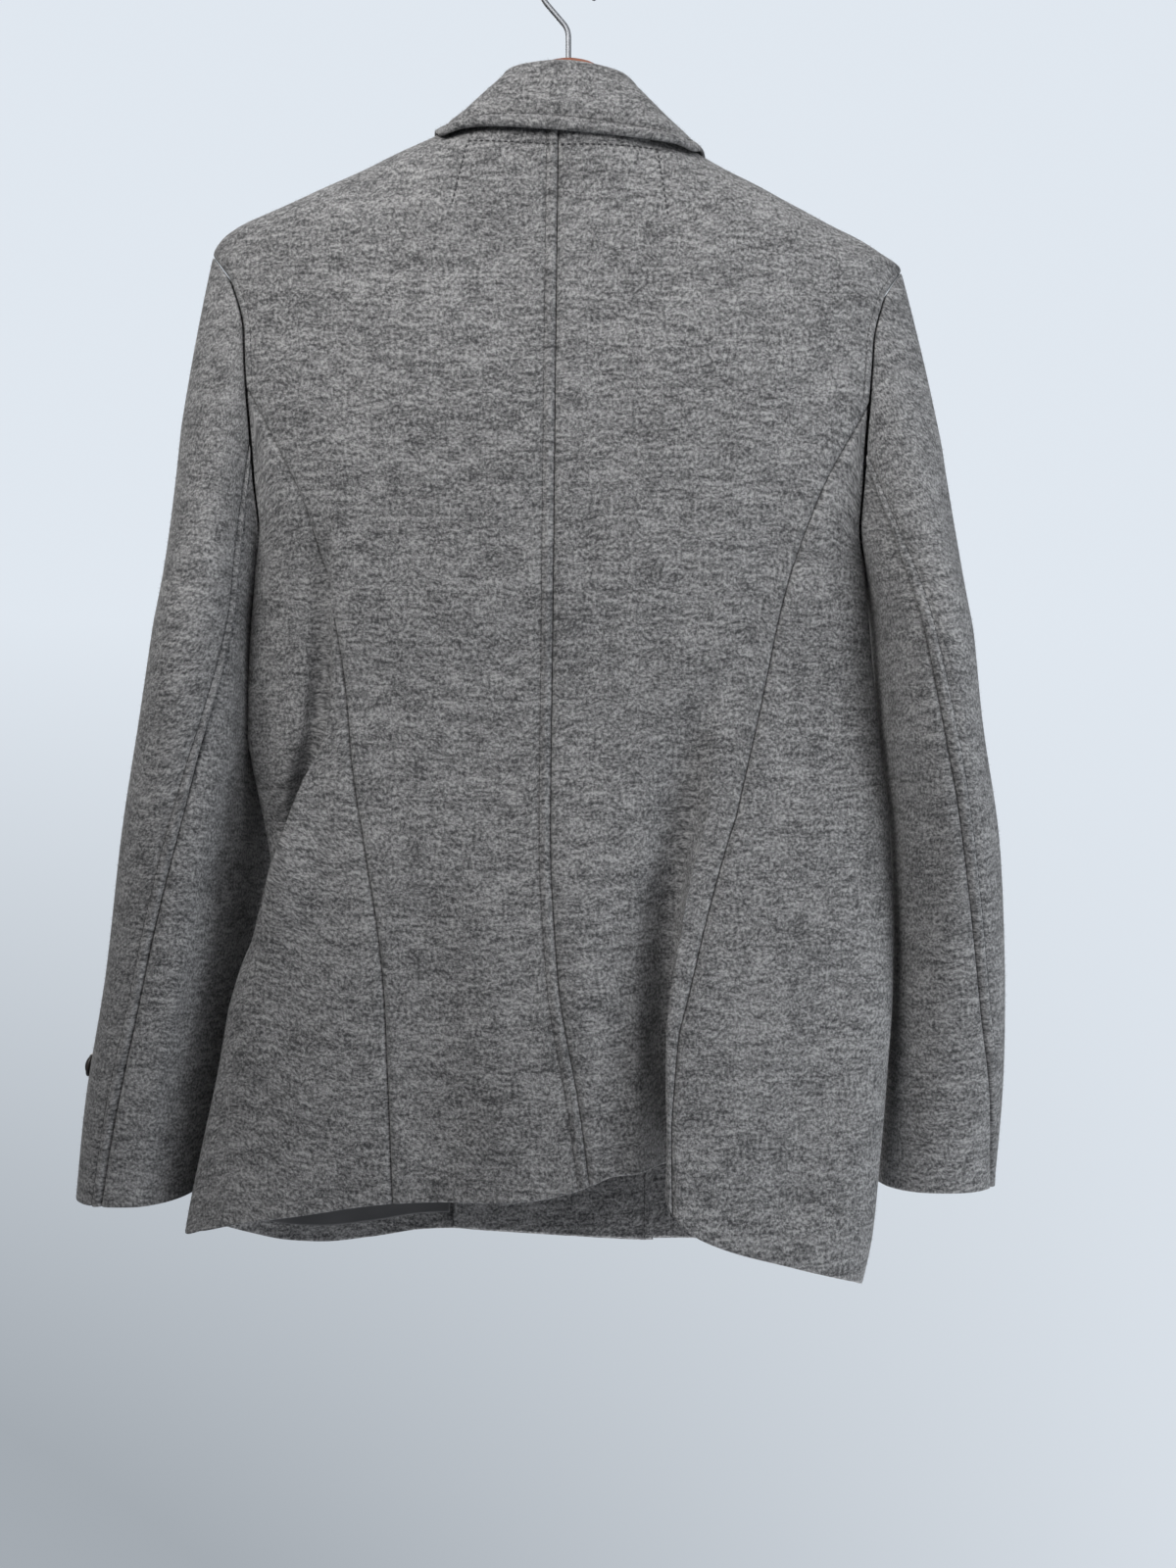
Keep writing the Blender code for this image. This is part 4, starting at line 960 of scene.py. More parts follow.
def sleeve_ring(side, z, turn):
    """Point of the sleeve's tube at a height; turn 0 is outward and 90 is to the back."""
    table, power = SLEEVE[side], 2 / SLEEVE_ROUND
    c, s = np.cos(np.radians(turn)), np.sin(np.radians(turn))
    x = table("x", z) + table("half_width", z) * squared(c, power)
    y = table("y", z) + table("half_depth", z) * squared(s, power)
    return np.stack([SIGN[side] * x, y, np.broadcast_to(z, x.shape)], axis=-1)


def turned_in(ring, z, turn):
    """The left sleeve's ring with its inner side straight and reaching in beside the front."""
    start, x, y, share = (float(TURNED_IN(n, z)) for n in ("turn", "x", "y", "share"))
    first, last = sleeve_ring("left", z, np.array([start, TURNED_OUT]))
    inner = np.array([x, y, z])
    bend = start + (TURNED_OUT - start) * TURNED_BEND
    there = part_way(turn - start, bend - start)[:, None]
    back = part_way(turn - bend, TURNED_OUT - bend)[:, None]
    straight = first * (1 - there) + inner * (there - back) + last * back
    inside = ((turn > start) & (turn < TURNED_OUT)) * share
    ring = ring + (straight - ring) * inside[:, None]
    soften(ring, 1)
    return ring


def armhole_loop(side):
    """Points of the armhole, from its tip down along the back and up along the front."""
    tip, cross = SHOULDER[side], crossing(side)
    t = np.linspace(0, 1, LOOP_FINE + 1)
    backs = chain(UNDERARM + (cross - UNDERARM) * (1 - np.cos(t * np.pi / 2)),
                  cross + (tip - cross) * np.sin(t * np.pi / 2))
    t = np.linspace(0, np.pi, 2 * LOOP_FINE + 1)
    fronts = UNDERARM + (tip - UNDERARM) * (1 - np.cos(t)) / 2
    return np.concatenate([body(armhole_angle(side, "back", backs), backs)[::-1],
                           body(armhole_angle(side, "front", fronts), fronts)[1:]])


def sleeve_tube(side):
    """Rings of a sleeve from the armhole down to the cuff, and the turn of each point."""
    table, loop = SLEEVE[side], armhole_loop(side)
    gone = lengths(loop)

    def turns(z):
        """Turn of every column at a height, set by where the two seams run."""
        back, front = table("back_seam", z), table("front_seam", z)
        under = (gone - gone[BACK_SEAM]) / (gone[FRONT_SEAM] - gone[BACK_SEAM])
        turn = back + under * (front + 360 - back)
        turn[:BACK_SEAM + 1] = back * gone[:BACK_SEAM + 1] / gone[BACK_SEAM]
        last = (gone[FRONT_SEAM:] - gone[FRONT_SEAM]) / (gone[-1] - gone[FRONT_SEAM])
        turn[FRONT_SEAM:] = front + 360 - front * last
        return turn

    top, cuff = table.rows[-1, 0], table.rows[0, 0]
    head_turns = turns(top)
    head = sleeve_ring(side, top, head_turns)
    away = unit(head - head.mean(axis=0))
    lean = np.cos(np.radians(head_turns))
    rows, turn_rows = [], []
    for share in np.linspace(0, 1, CAP_COUNT + 1):
        swell = CAP_SWELL * 4 * share * (1 - share) * (CAP_FLOOR + CAP_LEAN * lean ** 2)
        swell = swell * np.clip(lean + CAP_FADE, 0, 1)
        rows.append(loop * (1 - share) + head * share + away * swell[:, None])
        turn_rows.append(head_turns)
    for z in np.linspace(top, cuff, ARM_COUNT + 1)[1:]:
        turn = turns(z)
        ring = sleeve_ring(side, z, turn)
        rows.append(ring if side == "right" else turned_in(ring, z, turn))
        turn_rows.append(turn)
    tube = np.array(rows)
    tube[0] = tube[0] + unit(tube[1] - tube[0]) * SEAM
    soften(tube[1:-1], TUBE_PASSES)
    return tube, np.array(turn_rows)


def make_sleeve(side, looks):
    """Upper and under sleeve from one tube whose first ring is the armhole."""
    tube, turn = sleeve_tube(side)
    columns = {"under": list(range(BACK_SEAM, FRONT_SEAM + 1)),
               "upper": list(range(FRONT_SEAM, tube.shape[1] - 1)) + list(range(BACK_SEAM + 1))}
    for part, kept in columns.items():
        upper = part == "upper"
        line, turned = thick_rows(tube[:, kept]), thick_rows(turn[:, kept])
        turned = np.where(turned > (180 if upper else 540), turned - 360, turned)
        line, turned = even_columns(line, SLEEVE_STEP, PLAIN_STEPS,
                                    SEWN_STEPS if upper else PLAIN_STEPS, line, turned)
        normals = unit(np.cross(np.gradient(line, axis=0), np.gradient(line, axis=1)))
        piece = Piece(line, normals * SIGN[side], CAP_COUNT + len(ROW_EASE) - 1)
        miter(piece, side, piece.low, line[..., 2])
        piece.lift = piece.lift + sleeve_creases(side, turned, line[..., 2])
        piece.sink("first", "last")
        piece.sink("low", deep=HOLE_SINK)
        if upper:
            piece.topstitch("last", SLEEVE_STITCH, ends=(5, -3))
        shell(f"wool_sleeve_{part}_{side}", f"sleeve_{part}_{side}", piece, CLOTH, looks["wool"],
              ["wool_back_" + side, "wool_front_" + side])


def sleeve_creases(side, turn, z):
    """Height of a sleeve's creases at places of its cloth."""
    total = np.zeros(np.shape(z))
    for turn_top, z_top, turn_low, z_low, width, depth in SLEEVE_CREASES[side]:
        across = (((turn - turn_top) + 180) % 360 - 180) * TURN_REACH
        total = total + crease(across, z - z_top, (turn_low - turn_top) * TURN_REACH,
                               z_low - z_top, width, depth)
    return total


# Roll line and lower edge of the collar by station: degrees round the neck from centre back.
COLLAR = Table("station roll_x roll_y roll_z edge_x edge_y edge_z", [
    (-176, -0.003, -0.062, -0.160, -0.026, -0.0745, -0.236),
    (-135, -0.036, -0.046, -0.112, -0.082, -0.0640, -0.182),
    (-112, -0.043, -0.024, -0.096, -0.091, -0.0540, -0.152),
    (-90, -0.0440, 0.001, -0.0905, -0.0870, -0.0050, -0.1218),
    (-68, -0.0400, 0.022, -0.0868, -0.0790, 0.0300, -0.1295),
    (-45, -0.030, 0.037, -0.0828, -0.0655, 0.0425, -0.1275),
    (0, 0.004, 0.0465, -0.0797, 0.0040, 0.0567, -0.1262),
    (45, 0.032, 0.037, -0.0802, 0.0650, 0.0437, -0.1200),
    (68, 0.0390, 0.022, -0.0825, 0.0785, 0.0345, -0.1205),
    (90, 0.0420, 0.001, -0.0850, 0.0840, -0.0050, -0.1125),
    (112, 0.043, -0.024, -0.086, 0.091, -0.0540, -0.139),
    (135, 0.038, -0.046, -0.105, 0.083, -0.0640, -0.176),
    (176, 0.005, -0.062, -0.160, 0.030, -0.0745, -0.236),
])
COLLAR_END = 176        # stations run to this on either side
COLLAR_STATIONS = 176   # how many steps there are between
NECK_FINE = 90          # points along each quarter of the neck seam
COLLAR_CLEAR = CLOTH + 0.0009   # collar's outer face off the body's outer face
COLLAR_STEP = 0.0028
COLLAR_FOOT = 0.0006    # stand's foot above the neck seam
COLLAR_PASSES = 6
FOLD_RADIUS = 0.0050    # outer radius of the collar's folded top
STAND_ROWS, FOLD_ROWS, FALL_ROWS = 13, 15, 24
STAND_END = 0.985       # share of the stand's height where the fold starts
FOLD_TURNS = (178, 15)  # degrees of the fold, from the stand over to the fall
FALL_SWELL = 0.0012     # how far the fall stands out between its fold and its edge
FALL_WAVE, WAVE_RATE, WAVE_START = 0.0012, 3.1, 40
LAP_SPARE = 0.006       # past the right front's edge the collar still clears its rise
# Towards the front the topstitching draws the collar in less: it fades to a share of its depth
# over so many degrees, up to a last station.
STITCH_LAST, STITCH_FADE, STITCH_LEAST, STITCH_MORE = 78, 24, 0.3, 0.7
COLLAR_ENDS, COLLAR_SIDE_ENDS = (6, -6), (22, -12)   # rows of its thread, on the edge and sides


def neck_seam(stations):
    """Points of the neck seam at stations round the neck."""
    result = np.zeros((len(stations), 3))
    far = np.abs(stations)
    across = NECK_HALF * np.sin(np.linspace(0, np.pi / 2, NECK_FINE))
    for side, sign in SIGN.items():
        for which in ("back", "front"):
            z = NECK[side](which, across)
            line = body(angle_of(across * sign, z, which == "front"), z)
            gone = lengths(line)
            share = far / 90 if which == "back" else (180 - far) / 90
            mine = ((stations >= 0) == (sign > 0)) & ((far <= 90) == (which == "back"))
            for i in range(3):
                value = np.interp(share * gone[-1], gone, line[:, i])
                result[:, i] = np.where(mine, value, result[:, i])
    return result


def kept_clear(places, clear):
    """Places moved out, where they have to be, to stand that far off the body's outer face."""
    places = np.array(places, float)
    for _ in range(6):
        x, y, z = places.T
        power = roundness(y >= 0, z) / 2
        s = squared(x / half_width(x >= 0, z), power)
        c = squared(y / depth(y >= 0, z), power)
        angle = np.degrees(np.arctan2(s, c))
        rise = np.where(x < FRONT_EDGE["right"] + LAP_SPARE, FRONT_RISE, 0.0)

        def surface(a, h):
            return body(a, h, rise)

        normal = outward(surface, angle, z)
        short = clear - ((places - surface(angle, z)) * normal).sum(axis=-1)
        places = places + normal * np.maximum(short, 0)[:, None]
    return places


def collar_grid(stations):
    """Points of the collar by station, from the stand's foot over the fold to the fall's edge."""
    def read(what, at):
        return np.stack([COLLAR(f"{what}_{axis}", at) for axis in "xyz"], axis=-1)

    turn, upright = np.radians(stations), np.array([0, 0, 1.0])
    base, roll, edge = neck_seam(stations), read("roll", stations), read("edge", stations)
    out = edge - base
    out[:, 2] = 0
    away = np.stack([np.sin(turn), np.cos(turn), 0 * stations], axis=-1)
    out = unit(unit(out) * 0.5 + away * 0.5)
    along = unit(read("roll", stations + 1.0) - read("roll", stations - 1.0))
    up = unit(upright - along * along[:, 2:])
    out = out - along * (out * along).sum(axis=-1, keepdims=True)
    out = unit(out - up * (out * up).sum(axis=-1, keepdims=True))
    crown = roll - up * FOLD_RADIUS
    foot = base - out * (CLOTH + SEAM) + np.array([0, 0, COLLAR_FOOT])
    bend = crown - out * FOLD_RADIUS
    stand = [foot * (1 - t) + bend * t for t in np.linspace(0, STAND_END, STAND_ROWS)]
    fold = [crown + FOLD_RADIUS * (out * math.cos(t) + up * math.sin(t))
            for t in np.radians(np.linspace(*FOLD_TURNS, FOLD_ROWS))]
    edge = kept_clear(edge, COLLAR_CLEAR)
    swell = out * (FALL_SWELL + FALL_SWELL * np.abs(np.cos(turn)))[:, None]
    wave = FALL_WAVE * np.sin(np.radians(stations * WAVE_RATE + WAVE_START))[:, None] * upright
    fall = []
    for t in np.linspace(0, 1, FALL_ROWS + 1)[1:]:
        place = fold[-1] * (1 - t) + edge * t + swell * math.sin(math.pi * t) + wave * t * t
        fall.append(kept_clear(place, COLLAR_CLEAR))
    grid = np.stack(stand + fold + fall, axis=1)
    soften(grid, COLLAR_PASSES)
    return grid


def make_collar(looks):
    """Stand and fall of the collar, one cloth folded along the roll line."""
    stations = np.linspace(-COLLAR_END, COLLAR_END, COLLAR_STATIONS + 1)
    stations = thick_rows(stations[:, None])[:, 0]
    grid = collar_grid(stations)
    for name, part in (("stand", grid[:, :STAND_ROWS]), ("fall", grid[:, STAND_ROWS:])):
        sewn = name == "fall"
        line, = even_columns(part, COLLAR_STEP, PLAIN_STEPS,
                             SEWN_STEPS if sewn else PLAIN_STEPS, part)
        normals = unit(np.cross(np.gradient(line, axis=0), np.gradient(line, axis=1)))
        middle = len(line) // 2
        if normals[middle, -1, 1] < 0:
            normals = -normals
        piece = Piece(line, normals, middle, turned=True)
        if sewn:
            distance, paths = COLLAR_STITCH["distance"], PATHS["topstitching"]
            inside = part_way(STITCH_LAST - np.abs(stations), STITCH_FADE)
            piece.sew("last", COLLAR_STITCH, STITCH_LEAST + STITCH_MORE * inside)
            paths.append(piece.line("last", distance)[slice(*COLLAR_ENDS)])
            for end in ("low", "top"):
                paths.append(piece.line(end, distance)[slice(*COLLAR_SIDE_ENDS)])
        shell("wool_collar_" + name, "collar_" + name, piece, CLOTH, looks["wool"],
              ["wool_back_left", "wool_back_right"])


class Wire:
    """An output socket in a node tree; arithmetic on it adds Math nodes."""

    def __init__(self, tree, socket=None):
        self.tree, self.socket = tree, socket

    def node(self, kind, settings=None, inputs=None, out=0):
        """Adds a node: its type, its settings, then the values or links of its sockets."""
        made = self.tree.nodes.new(kind)
        for name, value in (settings or {}).items():
            if name == "stops":
                for i, (place, colour) in enumerate(value):
                    points = made.color_ramp.elements
                    stop = points[i] if i < len(points) else points.new(place)
                    stop.position, stop.color = place, colour
            else:
                setattr(made, name, value)
        for name, value in (inputs or {}).items():
            if isinstance(value, Wire):
                self.tree.links.new(value.socket, made.inputs[name])
            else:
                made.inputs[name].default_value = value
        return Wire(self.tree, made.outputs[out] if len(made.outputs) else None)

    def also(self, out):
        """Another output of the same node."""
        return Wire(self.tree, self.socket.node.outputs[out])

    def maths(self, operation, *values):
        """A Math node on values or wires."""
        return self.node("ShaderNodeMath", {"operation": operation}, dict(enumerate(values)))

    def __add__(self, other):
        return self.maths("ADD", self, other)

    __radd__ = __add__

    def __sub__(self, other):
        return self.maths("SUBTRACT", self, other)

    def __rsub__(self, other):
        return self.maths("SUBTRACT", other, self)

    def __mul__(self, other):
        return self.maths("MULTIPLY", self, other)

    __rmul__ = __mul__

    def cut_place(self):
        """Place in the flat cut of the cloth."""
        return self.node("ShaderNodeUVMap", {"uv_map": "cut"})

    def form_place(self):
        """Place in the whole form."""
        return self.node("ShaderNodeTexCoord", None, None, "Object")

    def stretched(self, *scale):
        """The place with each direction scaled."""
        return self.node("ShaderNodeMapping", None, {"Vector": self, "Scale": scale})

    def noise(self, across, along, detail=2.0, rough=0.5):
        """Soft noise with that many spots a metre across and along the cut."""
        return self.node("ShaderNodeTexNoise", {"noise_dimensions": "2D"},
                         {"Vector": self.stretched(across, along, 1.0), "Scale": 1.0,
                          "Detail": detail, "Roughness": rough})

    def speckle(self, scale, detail, **more):
        """Soft noise in the whole form with that many spots a metre."""
        return self.node("ShaderNodeTexNoise", None,
                         {"Vector": self, "Scale": scale, "Detail": detail, **more})

    def ramp(self, *stops):
        """Colour by this value, from stops of a place and a colour."""
        return self.node("ShaderNodeValToRGB", {"stops": stops}, {"Fac": self})

    def relief(self, strength, distance):
        """Normals bumped by this value."""
        return self.node("ShaderNodeBump", None,
                         {"Strength": strength, "Distance": distance, "Height": self})

    def clamped(self):
        """This value kept between 0 and 1."""
        return self.node("ShaderNodeClamp", None, {"Value": self})

    def mix(self, first, second):
        """Colour between two, by this value."""
        return self.node("ShaderNodeMix", {"data_type": "RGBA"}, {0: self, 6: first, 7: second}, 2)


def new_look(name, **constants):
    """A material with its constants set on the shader's own sockets, and a wire to build from."""
    made = bpy.data.materials.new(name)
    made.use_nodes = True
    shader = made.node_tree.nodes["Principled BSDF"]
    for socket, value in constants.items():
        shader.inputs[socket.replace("_", " ")].default_value = value
    return made, Wire(made.node_tree), shader


def feed(wire, shader, socket):
    """Links a wire to one of a shader's sockets."""
    wire.tree.links.new(wire.socket, shader.inputs[socket])


# Linear colours of each look, from dark to light, with their places on a ramp where it has one.
WOOL_STOPS = ((0.26, (0.060, 0.061, 0.064, 1)), (0.50, (0.200, 0.201, 0.206, 1)),
              (0.76, (0.420, 0.420, 0.424, 1)))
NAP_STOPS = ((0.35, (0.085, 0.086, 0.090, 1)), (0.52, (0.22, 0.221, 0.226, 1)),
             (0.70, (0.42, 0.42, 0.425, 1)))
HORN_STOPS = ((0.30, (0.010, 0.009, 0.009, 1)), (0.55, (0.028, 0.024, 0.022, 1)),
              (0.78, (0.075, 0.060, 0.050, 1)))
WOOD_STOPS = ((0.30, (0.130, 0.040, 0.022, 1)), (0.52, (0.270, 0.090, 0.048, 1)),
              (0.72, (0.380, 0.150, 0.085, 1)))
LINING_COLOURS = (0.060, 0.061, 0.066, 1), (0.100, 0.101, 0.107, 1)
THREAD_COLOURS = (0.045, 0.046, 0.049, 1), (0.11, 0.11, 0.115, 1)
STEEL_COLOURS = (0.30, 0.315, 0.34, 1), (0.38, 0.395, 0.42, 1)
FLOOR_COLOURS = (0.70, 0.71, 0.73, 1), (0.74, 0.75, 0.77, 1)
# The wall's own pale colour, then the painted shade it deepens to towards one lower corner.
WALL_AND_PAINTED_SHADE_COLOURS = (0.745, 0.802, 0.868, 1), (0.370, 0.405, 0.443, 1)
AMBIENT_COLOURS = (0.022, 0.023, 0.025, 1), (0.31, 0.316, 0.330, 1)


def wool_look():
    """Grey melange wool: pale and dark fibres felted together, faint streaks across the grain."""
    made, start, shader = new_look("wool", Roughness=0.96, Specular_IOR_Level=0.15,
                                   Sheen_Weight=0.12, Sheen_Roughness=0.6)
    cut = start.cut_place()
    warp = cut.noise(60, 70, 2.0)
    bent = cut.node("ShaderNodeCombineXYZ", None, {"X": warp * 0.004, "Y": (warp - 0.5) * 0.004})
    place = cut.node("ShaderNodeVectorMath", {"operation": "ADD"}, {0: cut, 1: bent})
    grain = place.noise(470, 520, 3.0, 0.70)
    streak = place.noise(85, 330, 3.0, 0.60)
    patch = place.noise(24, 82, 2.0, 0.5)
    cloud = place.noise(11, 17, 2.0, 0.5)
    fibre = place.noise(1300, 1500, 1.0, 0.5)
    tone = grain * 1.16 + streak * 0.60 + patch * 0.26 + cloud * 0.08 + fibre * 0.26 - 0.68
    feed(tone.ramp(*WOOL_STOPS), shader, "Base Color")
    height = grain * 0.8 + fibre * 0.4 + streak * 0.3
    feed(height.relief(0.6, 0.0010), shader, "Normal")
    return made


def lining_look():
    """Dark satin lining with a fine slanting twill."""
    made, start, shader = new_look("lining", Specular_IOR_Level=0.4, Sheen_Weight=0.1)
    cut = start.cut_place()
    turned = cut.node("ShaderNodeMapping", None, {"Vector": cut, "Rotation": (0, 0, 0.9)})
    twill = turned.node("ShaderNodeTexWave", {"wave_type": "BANDS", "wave_profile": "SIN"},
                        {"Vector": turned, "Scale": 420.0, "Distortion": 0.4, "Detail": 1.0})
    cloud = cut.noise(40, 60, 3.0)
    feed((cloud * 0.6 + twill * 0.4).mix(*LINING_COLOURS), shader, "Base Color")
    feed(cloud * 0.2 + 0.36, shader, "Roughness")
    feed((twill + cloud * 2.0).relief(0.25, 0.0003), shader, "Normal")
    return made


def thread_look():
    """Dark spun thread."""
    made, start, shader = new_look("thread", Roughness=0.7, Specular_IOR_Level=0.3)
    spun = start.form_place().speckle(900.0, 2.0)
    feed(spun.mix(*THREAD_COLOURS), shader, "Base Color")
    return made


def nap_look():
    """Loose fibres of the wool, pale and dark."""
    made, start, shader = new_look("nap", Roughness=0.9, Specular_IOR_Level=0.2)
    mixed = start.form_place().speckle(700.0, 2.0)
    feed(mixed.ramp(*NAP_STOPS), shader, "Base Color")
    return made


def button_look():
    """Dark streaked horn."""
    made, start, shader = new_look("button", Specular_IOR_Level=0.5, Coat_Roughness=0.2)
    horn = start.form_place().stretched(260, 260, 90).speckle(1.0, 4.0, Distortion=1.2)
    feed(horn.ramp(*HORN_STOPS), shader, "Base Color")
    feed(horn * 0.25 + 0.22, shader, "Roughness")
    return made


def wood_look():
    """Red-brown varnished wood, its grain along the hanger."""
    made, start, shader = new_look("wood", Specular_IOR_Level=0.5, Coat_Weight=0.35,
                                   Coat_Roughness=0.2)
    place = start.form_place()
    grain = place.stretched(9, 95, 95).speckle(1.0, 5.0, Roughness=0.6, Distortion=0.8)
    pores = place.stretched(120, 1400, 1400).speckle(1.0, 2.0)
    feed((grain * 0.75 + pores * 0.25).ramp(*WOOD_STOPS), shader, "Base Color")
    feed(pores * 0.25 + 0.28, shader, "Roughness")
    feed(pores.relief(0.2, 0.0003), shader, "Normal")
    return made


def steel_look():
    """Drawn steel wire."""
    made, start, shader = new_look("steel", Metallic=1.0)
    drawn = start.form_place().speckle(420.0, 3.0)
    feed(drawn.mix(*STEEL_COLOURS), shader, "Base Color")
    feed(drawn * 0.2 + 0.44, shader, "Roughness")
    return made


class Grower:
    """A node tree that makes plain meshes: one geometry and named sizes in, one geometry out."""

    def __init__(self, name, given, sizes, made):
        self.tree = bpy.data.node_groups.new(name, "GeometryNodeTree")
        face, self.sockets = self.tree.interface, {}
        face.new_socket(given, in_out="INPUT", socket_type="NodeSocketGeometry")
        for size in sizes:
            socket = face.new_socket(size, in_out="INPUT", socket_type="NodeSocketFloat")
            self.sockets[size] = socket.identifier
        face.new_socket(made, in_out="OUTPUT", socket_type="NodeSocketGeometry")
        self.given, self.made = Wire(self.tree).node("NodeGroupInput", None, None, given), made

    def place(self, points, instance, way, length):
        """Instances on points, turned along a way and scaled by the sizes, then made real."""
        wire, wide = self.given, self.given.also("Thickness")
        turn = wire.node("FunctionNodeAlignRotationToVector", {"axis": "Z"}, {"Vector": way})
        scale = wire.node("ShaderNodeCombineXYZ", None, {"X": wide, "Y": wide, "Z": length})
        placed = wire.node("GeometryNodeInstanceOnPoints", None, {
            "Points": points, "Instance": instance, "Rotation": turn, "Scale": scale})
        return wire.node("GeometryNodeRealizeInstances", None, {"Geometry": placed})

    def end(self, geometry, look):
        """Gives what was made its material and links it to the output."""
        dressed = geometry.node("GeometryNodeSetMaterial", None,
                                {"Geometry": geometry, "Material": look})
        dressed.node("NodeGroupOutput", None, {self.made: dressed})

    def piece(self, name, mesh, sizes, slot):
        """The plain mesh that the tree makes from a mesh, as a piece."""
        source = bpy.data.objects.new(name + "_source", mesh)
        bpy.context.scene.collection.objects.link(source)
        modifier = source.modifiers.new("grow", "NODES")
        modifier.node_group = self.tree
        for size, value in sizes.items():
            modifier[self.sockets[size]] = value
        seen = source.evaluated_get(bpy.context.evaluated_depsgraph_get())
        made = bpy.data.meshes.new_from_object(seen)
        bpy.data.objects.remove(source, do_unlink=True)
        add_piece(name, made)


# Distance from stitch to stitch, length and thickness of each kind of sewing.
STITCHES = {
    "topstitching": dict(Pitch=0.0037, Length=0.0029, Thickness=0.00055),
    "buttonholes": dict(Pitch=0.0007, Length=0.0010, Thickness=0.0011),
    "pick_stitching": dict(Pitch=0.0036, Length=0.0024, Thickness=0.0012),
}


def path_mesh(name, paths):
    """A mesh of edges along paths."""
    points, edges = [], []
    for path in paths:
        start = len(points)
        points += [tuple(map(float, p)) for p in path]
        edges += [(start + i, start + i + 1) for i in range(len(path) - 1)]
    mesh = bpy.data.meshes.new(name)
    mesh.from_pydata(points, edges, [])
    return mesh


def make_sewing(looks):
    """Thread stitches along every path."""
    grower = Grower("stitches along a seam", "Paths", ("Pitch", "Length", "Thickness"), "Stitches")
    given = grower.given
    curve = given.node("GeometryNodeMeshToCurve", None, {"Mesh": given})
    spaced = given.node("GeometryNodeResampleCurve", {"mode": "LENGTH"},
                        {"Curve": curve, "Length": given.also("Pitch")})
    along = given.node("GeometryNodeInputTangent")
    ball = given.node("GeometryNodeMeshUVSphere", None, {"Segments": 6, "Rings": 5, "Radius": 0.5})
    real = grower.place(spaced, ball, along, given.also("Length"))
    smooth = given.node("GeometryNodeSetShadeSmooth", None, {"Geometry": real})
    grower.end(smooth, looks["thread"])
    for name, paths in PATHS.items():
        grower.piece(name, path_mesh(name + "_paths", paths), STITCHES[name], "wool")


# Which cloths each piece of nap stands on, and about how many fibres it has.
NAP = {
    "nap_back": (("wool_back_left", "wool_back_right", "wool_side_back_left",
                  "wool_side_back_right"), 24000),
    "nap_front": (("wool_front_left", "wool_front_right"), 14000),
    "nap_sleeves": (("wool_sleeve_upper_left", "wool_sleeve_upper_right",
                     "wool_sleeve_under_left", "wool_sleeve_under_right"), 22000),
    "nap_collar": (("wool_collar_fall",), 6000),
}
FIBRE = dict(Length=0.0022, Thickness=0.00012, Lean=1.3)
FIBRE_LEAST = 0.35      # shortest fibre, as a share of the longest


def make_nap(looks):
    """Short loose fibres standing up from the cloth's face."""
    grower = Grower("nap of loose fibres", "Cloth", ("Density", "Length", "Thickness", "Lean"),
                    "Nap")
    given = grower.given
    roots = given.node("GeometryNodeDistributePointsOnFaces", None,
                       {"Mesh": given, "Density": given.also("Density"), "Seed": 11}, "Points")
    stray = given.node("FunctionNodeRandomValue", {"data_type": "FLOAT_VECTOR"},
                       {0: (-1.0, -1.0, -1.0), 1: (1.0, 1.0, 1.0), "Seed": 5})
    leaning = given.node("ShaderNodeVectorMath", {"operation": "SCALE"},
                         {0: stray, "Scale": given.also("Lean")})
    way = given.node("ShaderNodeVectorMath", {"operation": "ADD"},
                     {0: roots.also("Normal"), 1: leaning})
    long = given.node("FunctionNodeRandomValue", {"data_type": "FLOAT"},
                      {2: FIBRE_LEAST, 3: 1.0, "Seed": 8}, 1)
    fibre = given.node("GeometryNodeMeshCone", None,
                       {"Vertices": 3, "Radius Top": 0.0, "Radius Bottom": 0.5, "Depth": 1.0})
    grower.end(grower.place(roots, fibre, way, long * given.also("Length")), looks["nap"])
    for name, (cloths, count) in NAP.items():
        points, faces, area = [], [], 0.0
        for cloth in cloths:
            places, quads = SHELLS[cloth]
            faces.append(quads + sum(len(p) for p in points))
            points.append(places)
            corner = places[quads]
            crossed = np.cross(corner[:, 2] - corner[:, 0], corner[:, 3] - corner[:, 1])
            area += np.linalg.norm(crossed, axis=1).sum() / 2
        mesh = bpy.data.meshes.new(name + "_cloth")
        mesh.from_pydata(np.concatenate(points).tolist(), [], np.concatenate(faces).tolist())
        grower.piece(name, mesh, dict(Density=count / area, **FIBRE), "wool")


def around(count, start=0.0):
    """Cosines and sines of even steps round a circle, as columns."""
    t = 2 * np.pi * (np.arange(count) + start) / count
    return np.cos(t)[:, None], np.sin(t)[:, None]


def lofted(name, node, rings, look):
    """Closed form through rings of points, with plain ends, in place of a node."""
    rows, sides = rings.shape[:2]
    faces = []
    for r in range(rows - 1):
        for k in range(sides):
            n = (k + 1) % sides
            faces.append([r * sides + k, r * sides + n, (r + 1) * sides + n, (r + 1) * sides + k])
    faces.append(list(range(sides))[::-1])
    faces.append(list(range((rows - 1) * sides, rows * sides)))
    a, b, c = rings[0, 0], rings[0, 1], rings[1, 0]
    if np.dot(np.cross(b - a, c - a), a - rings[0].mean(axis=0)) < 0:
        faces = [f[::-1] for f in faces]
    mesh_piece(name, node, rings.reshape(-1, 3), faces, look)


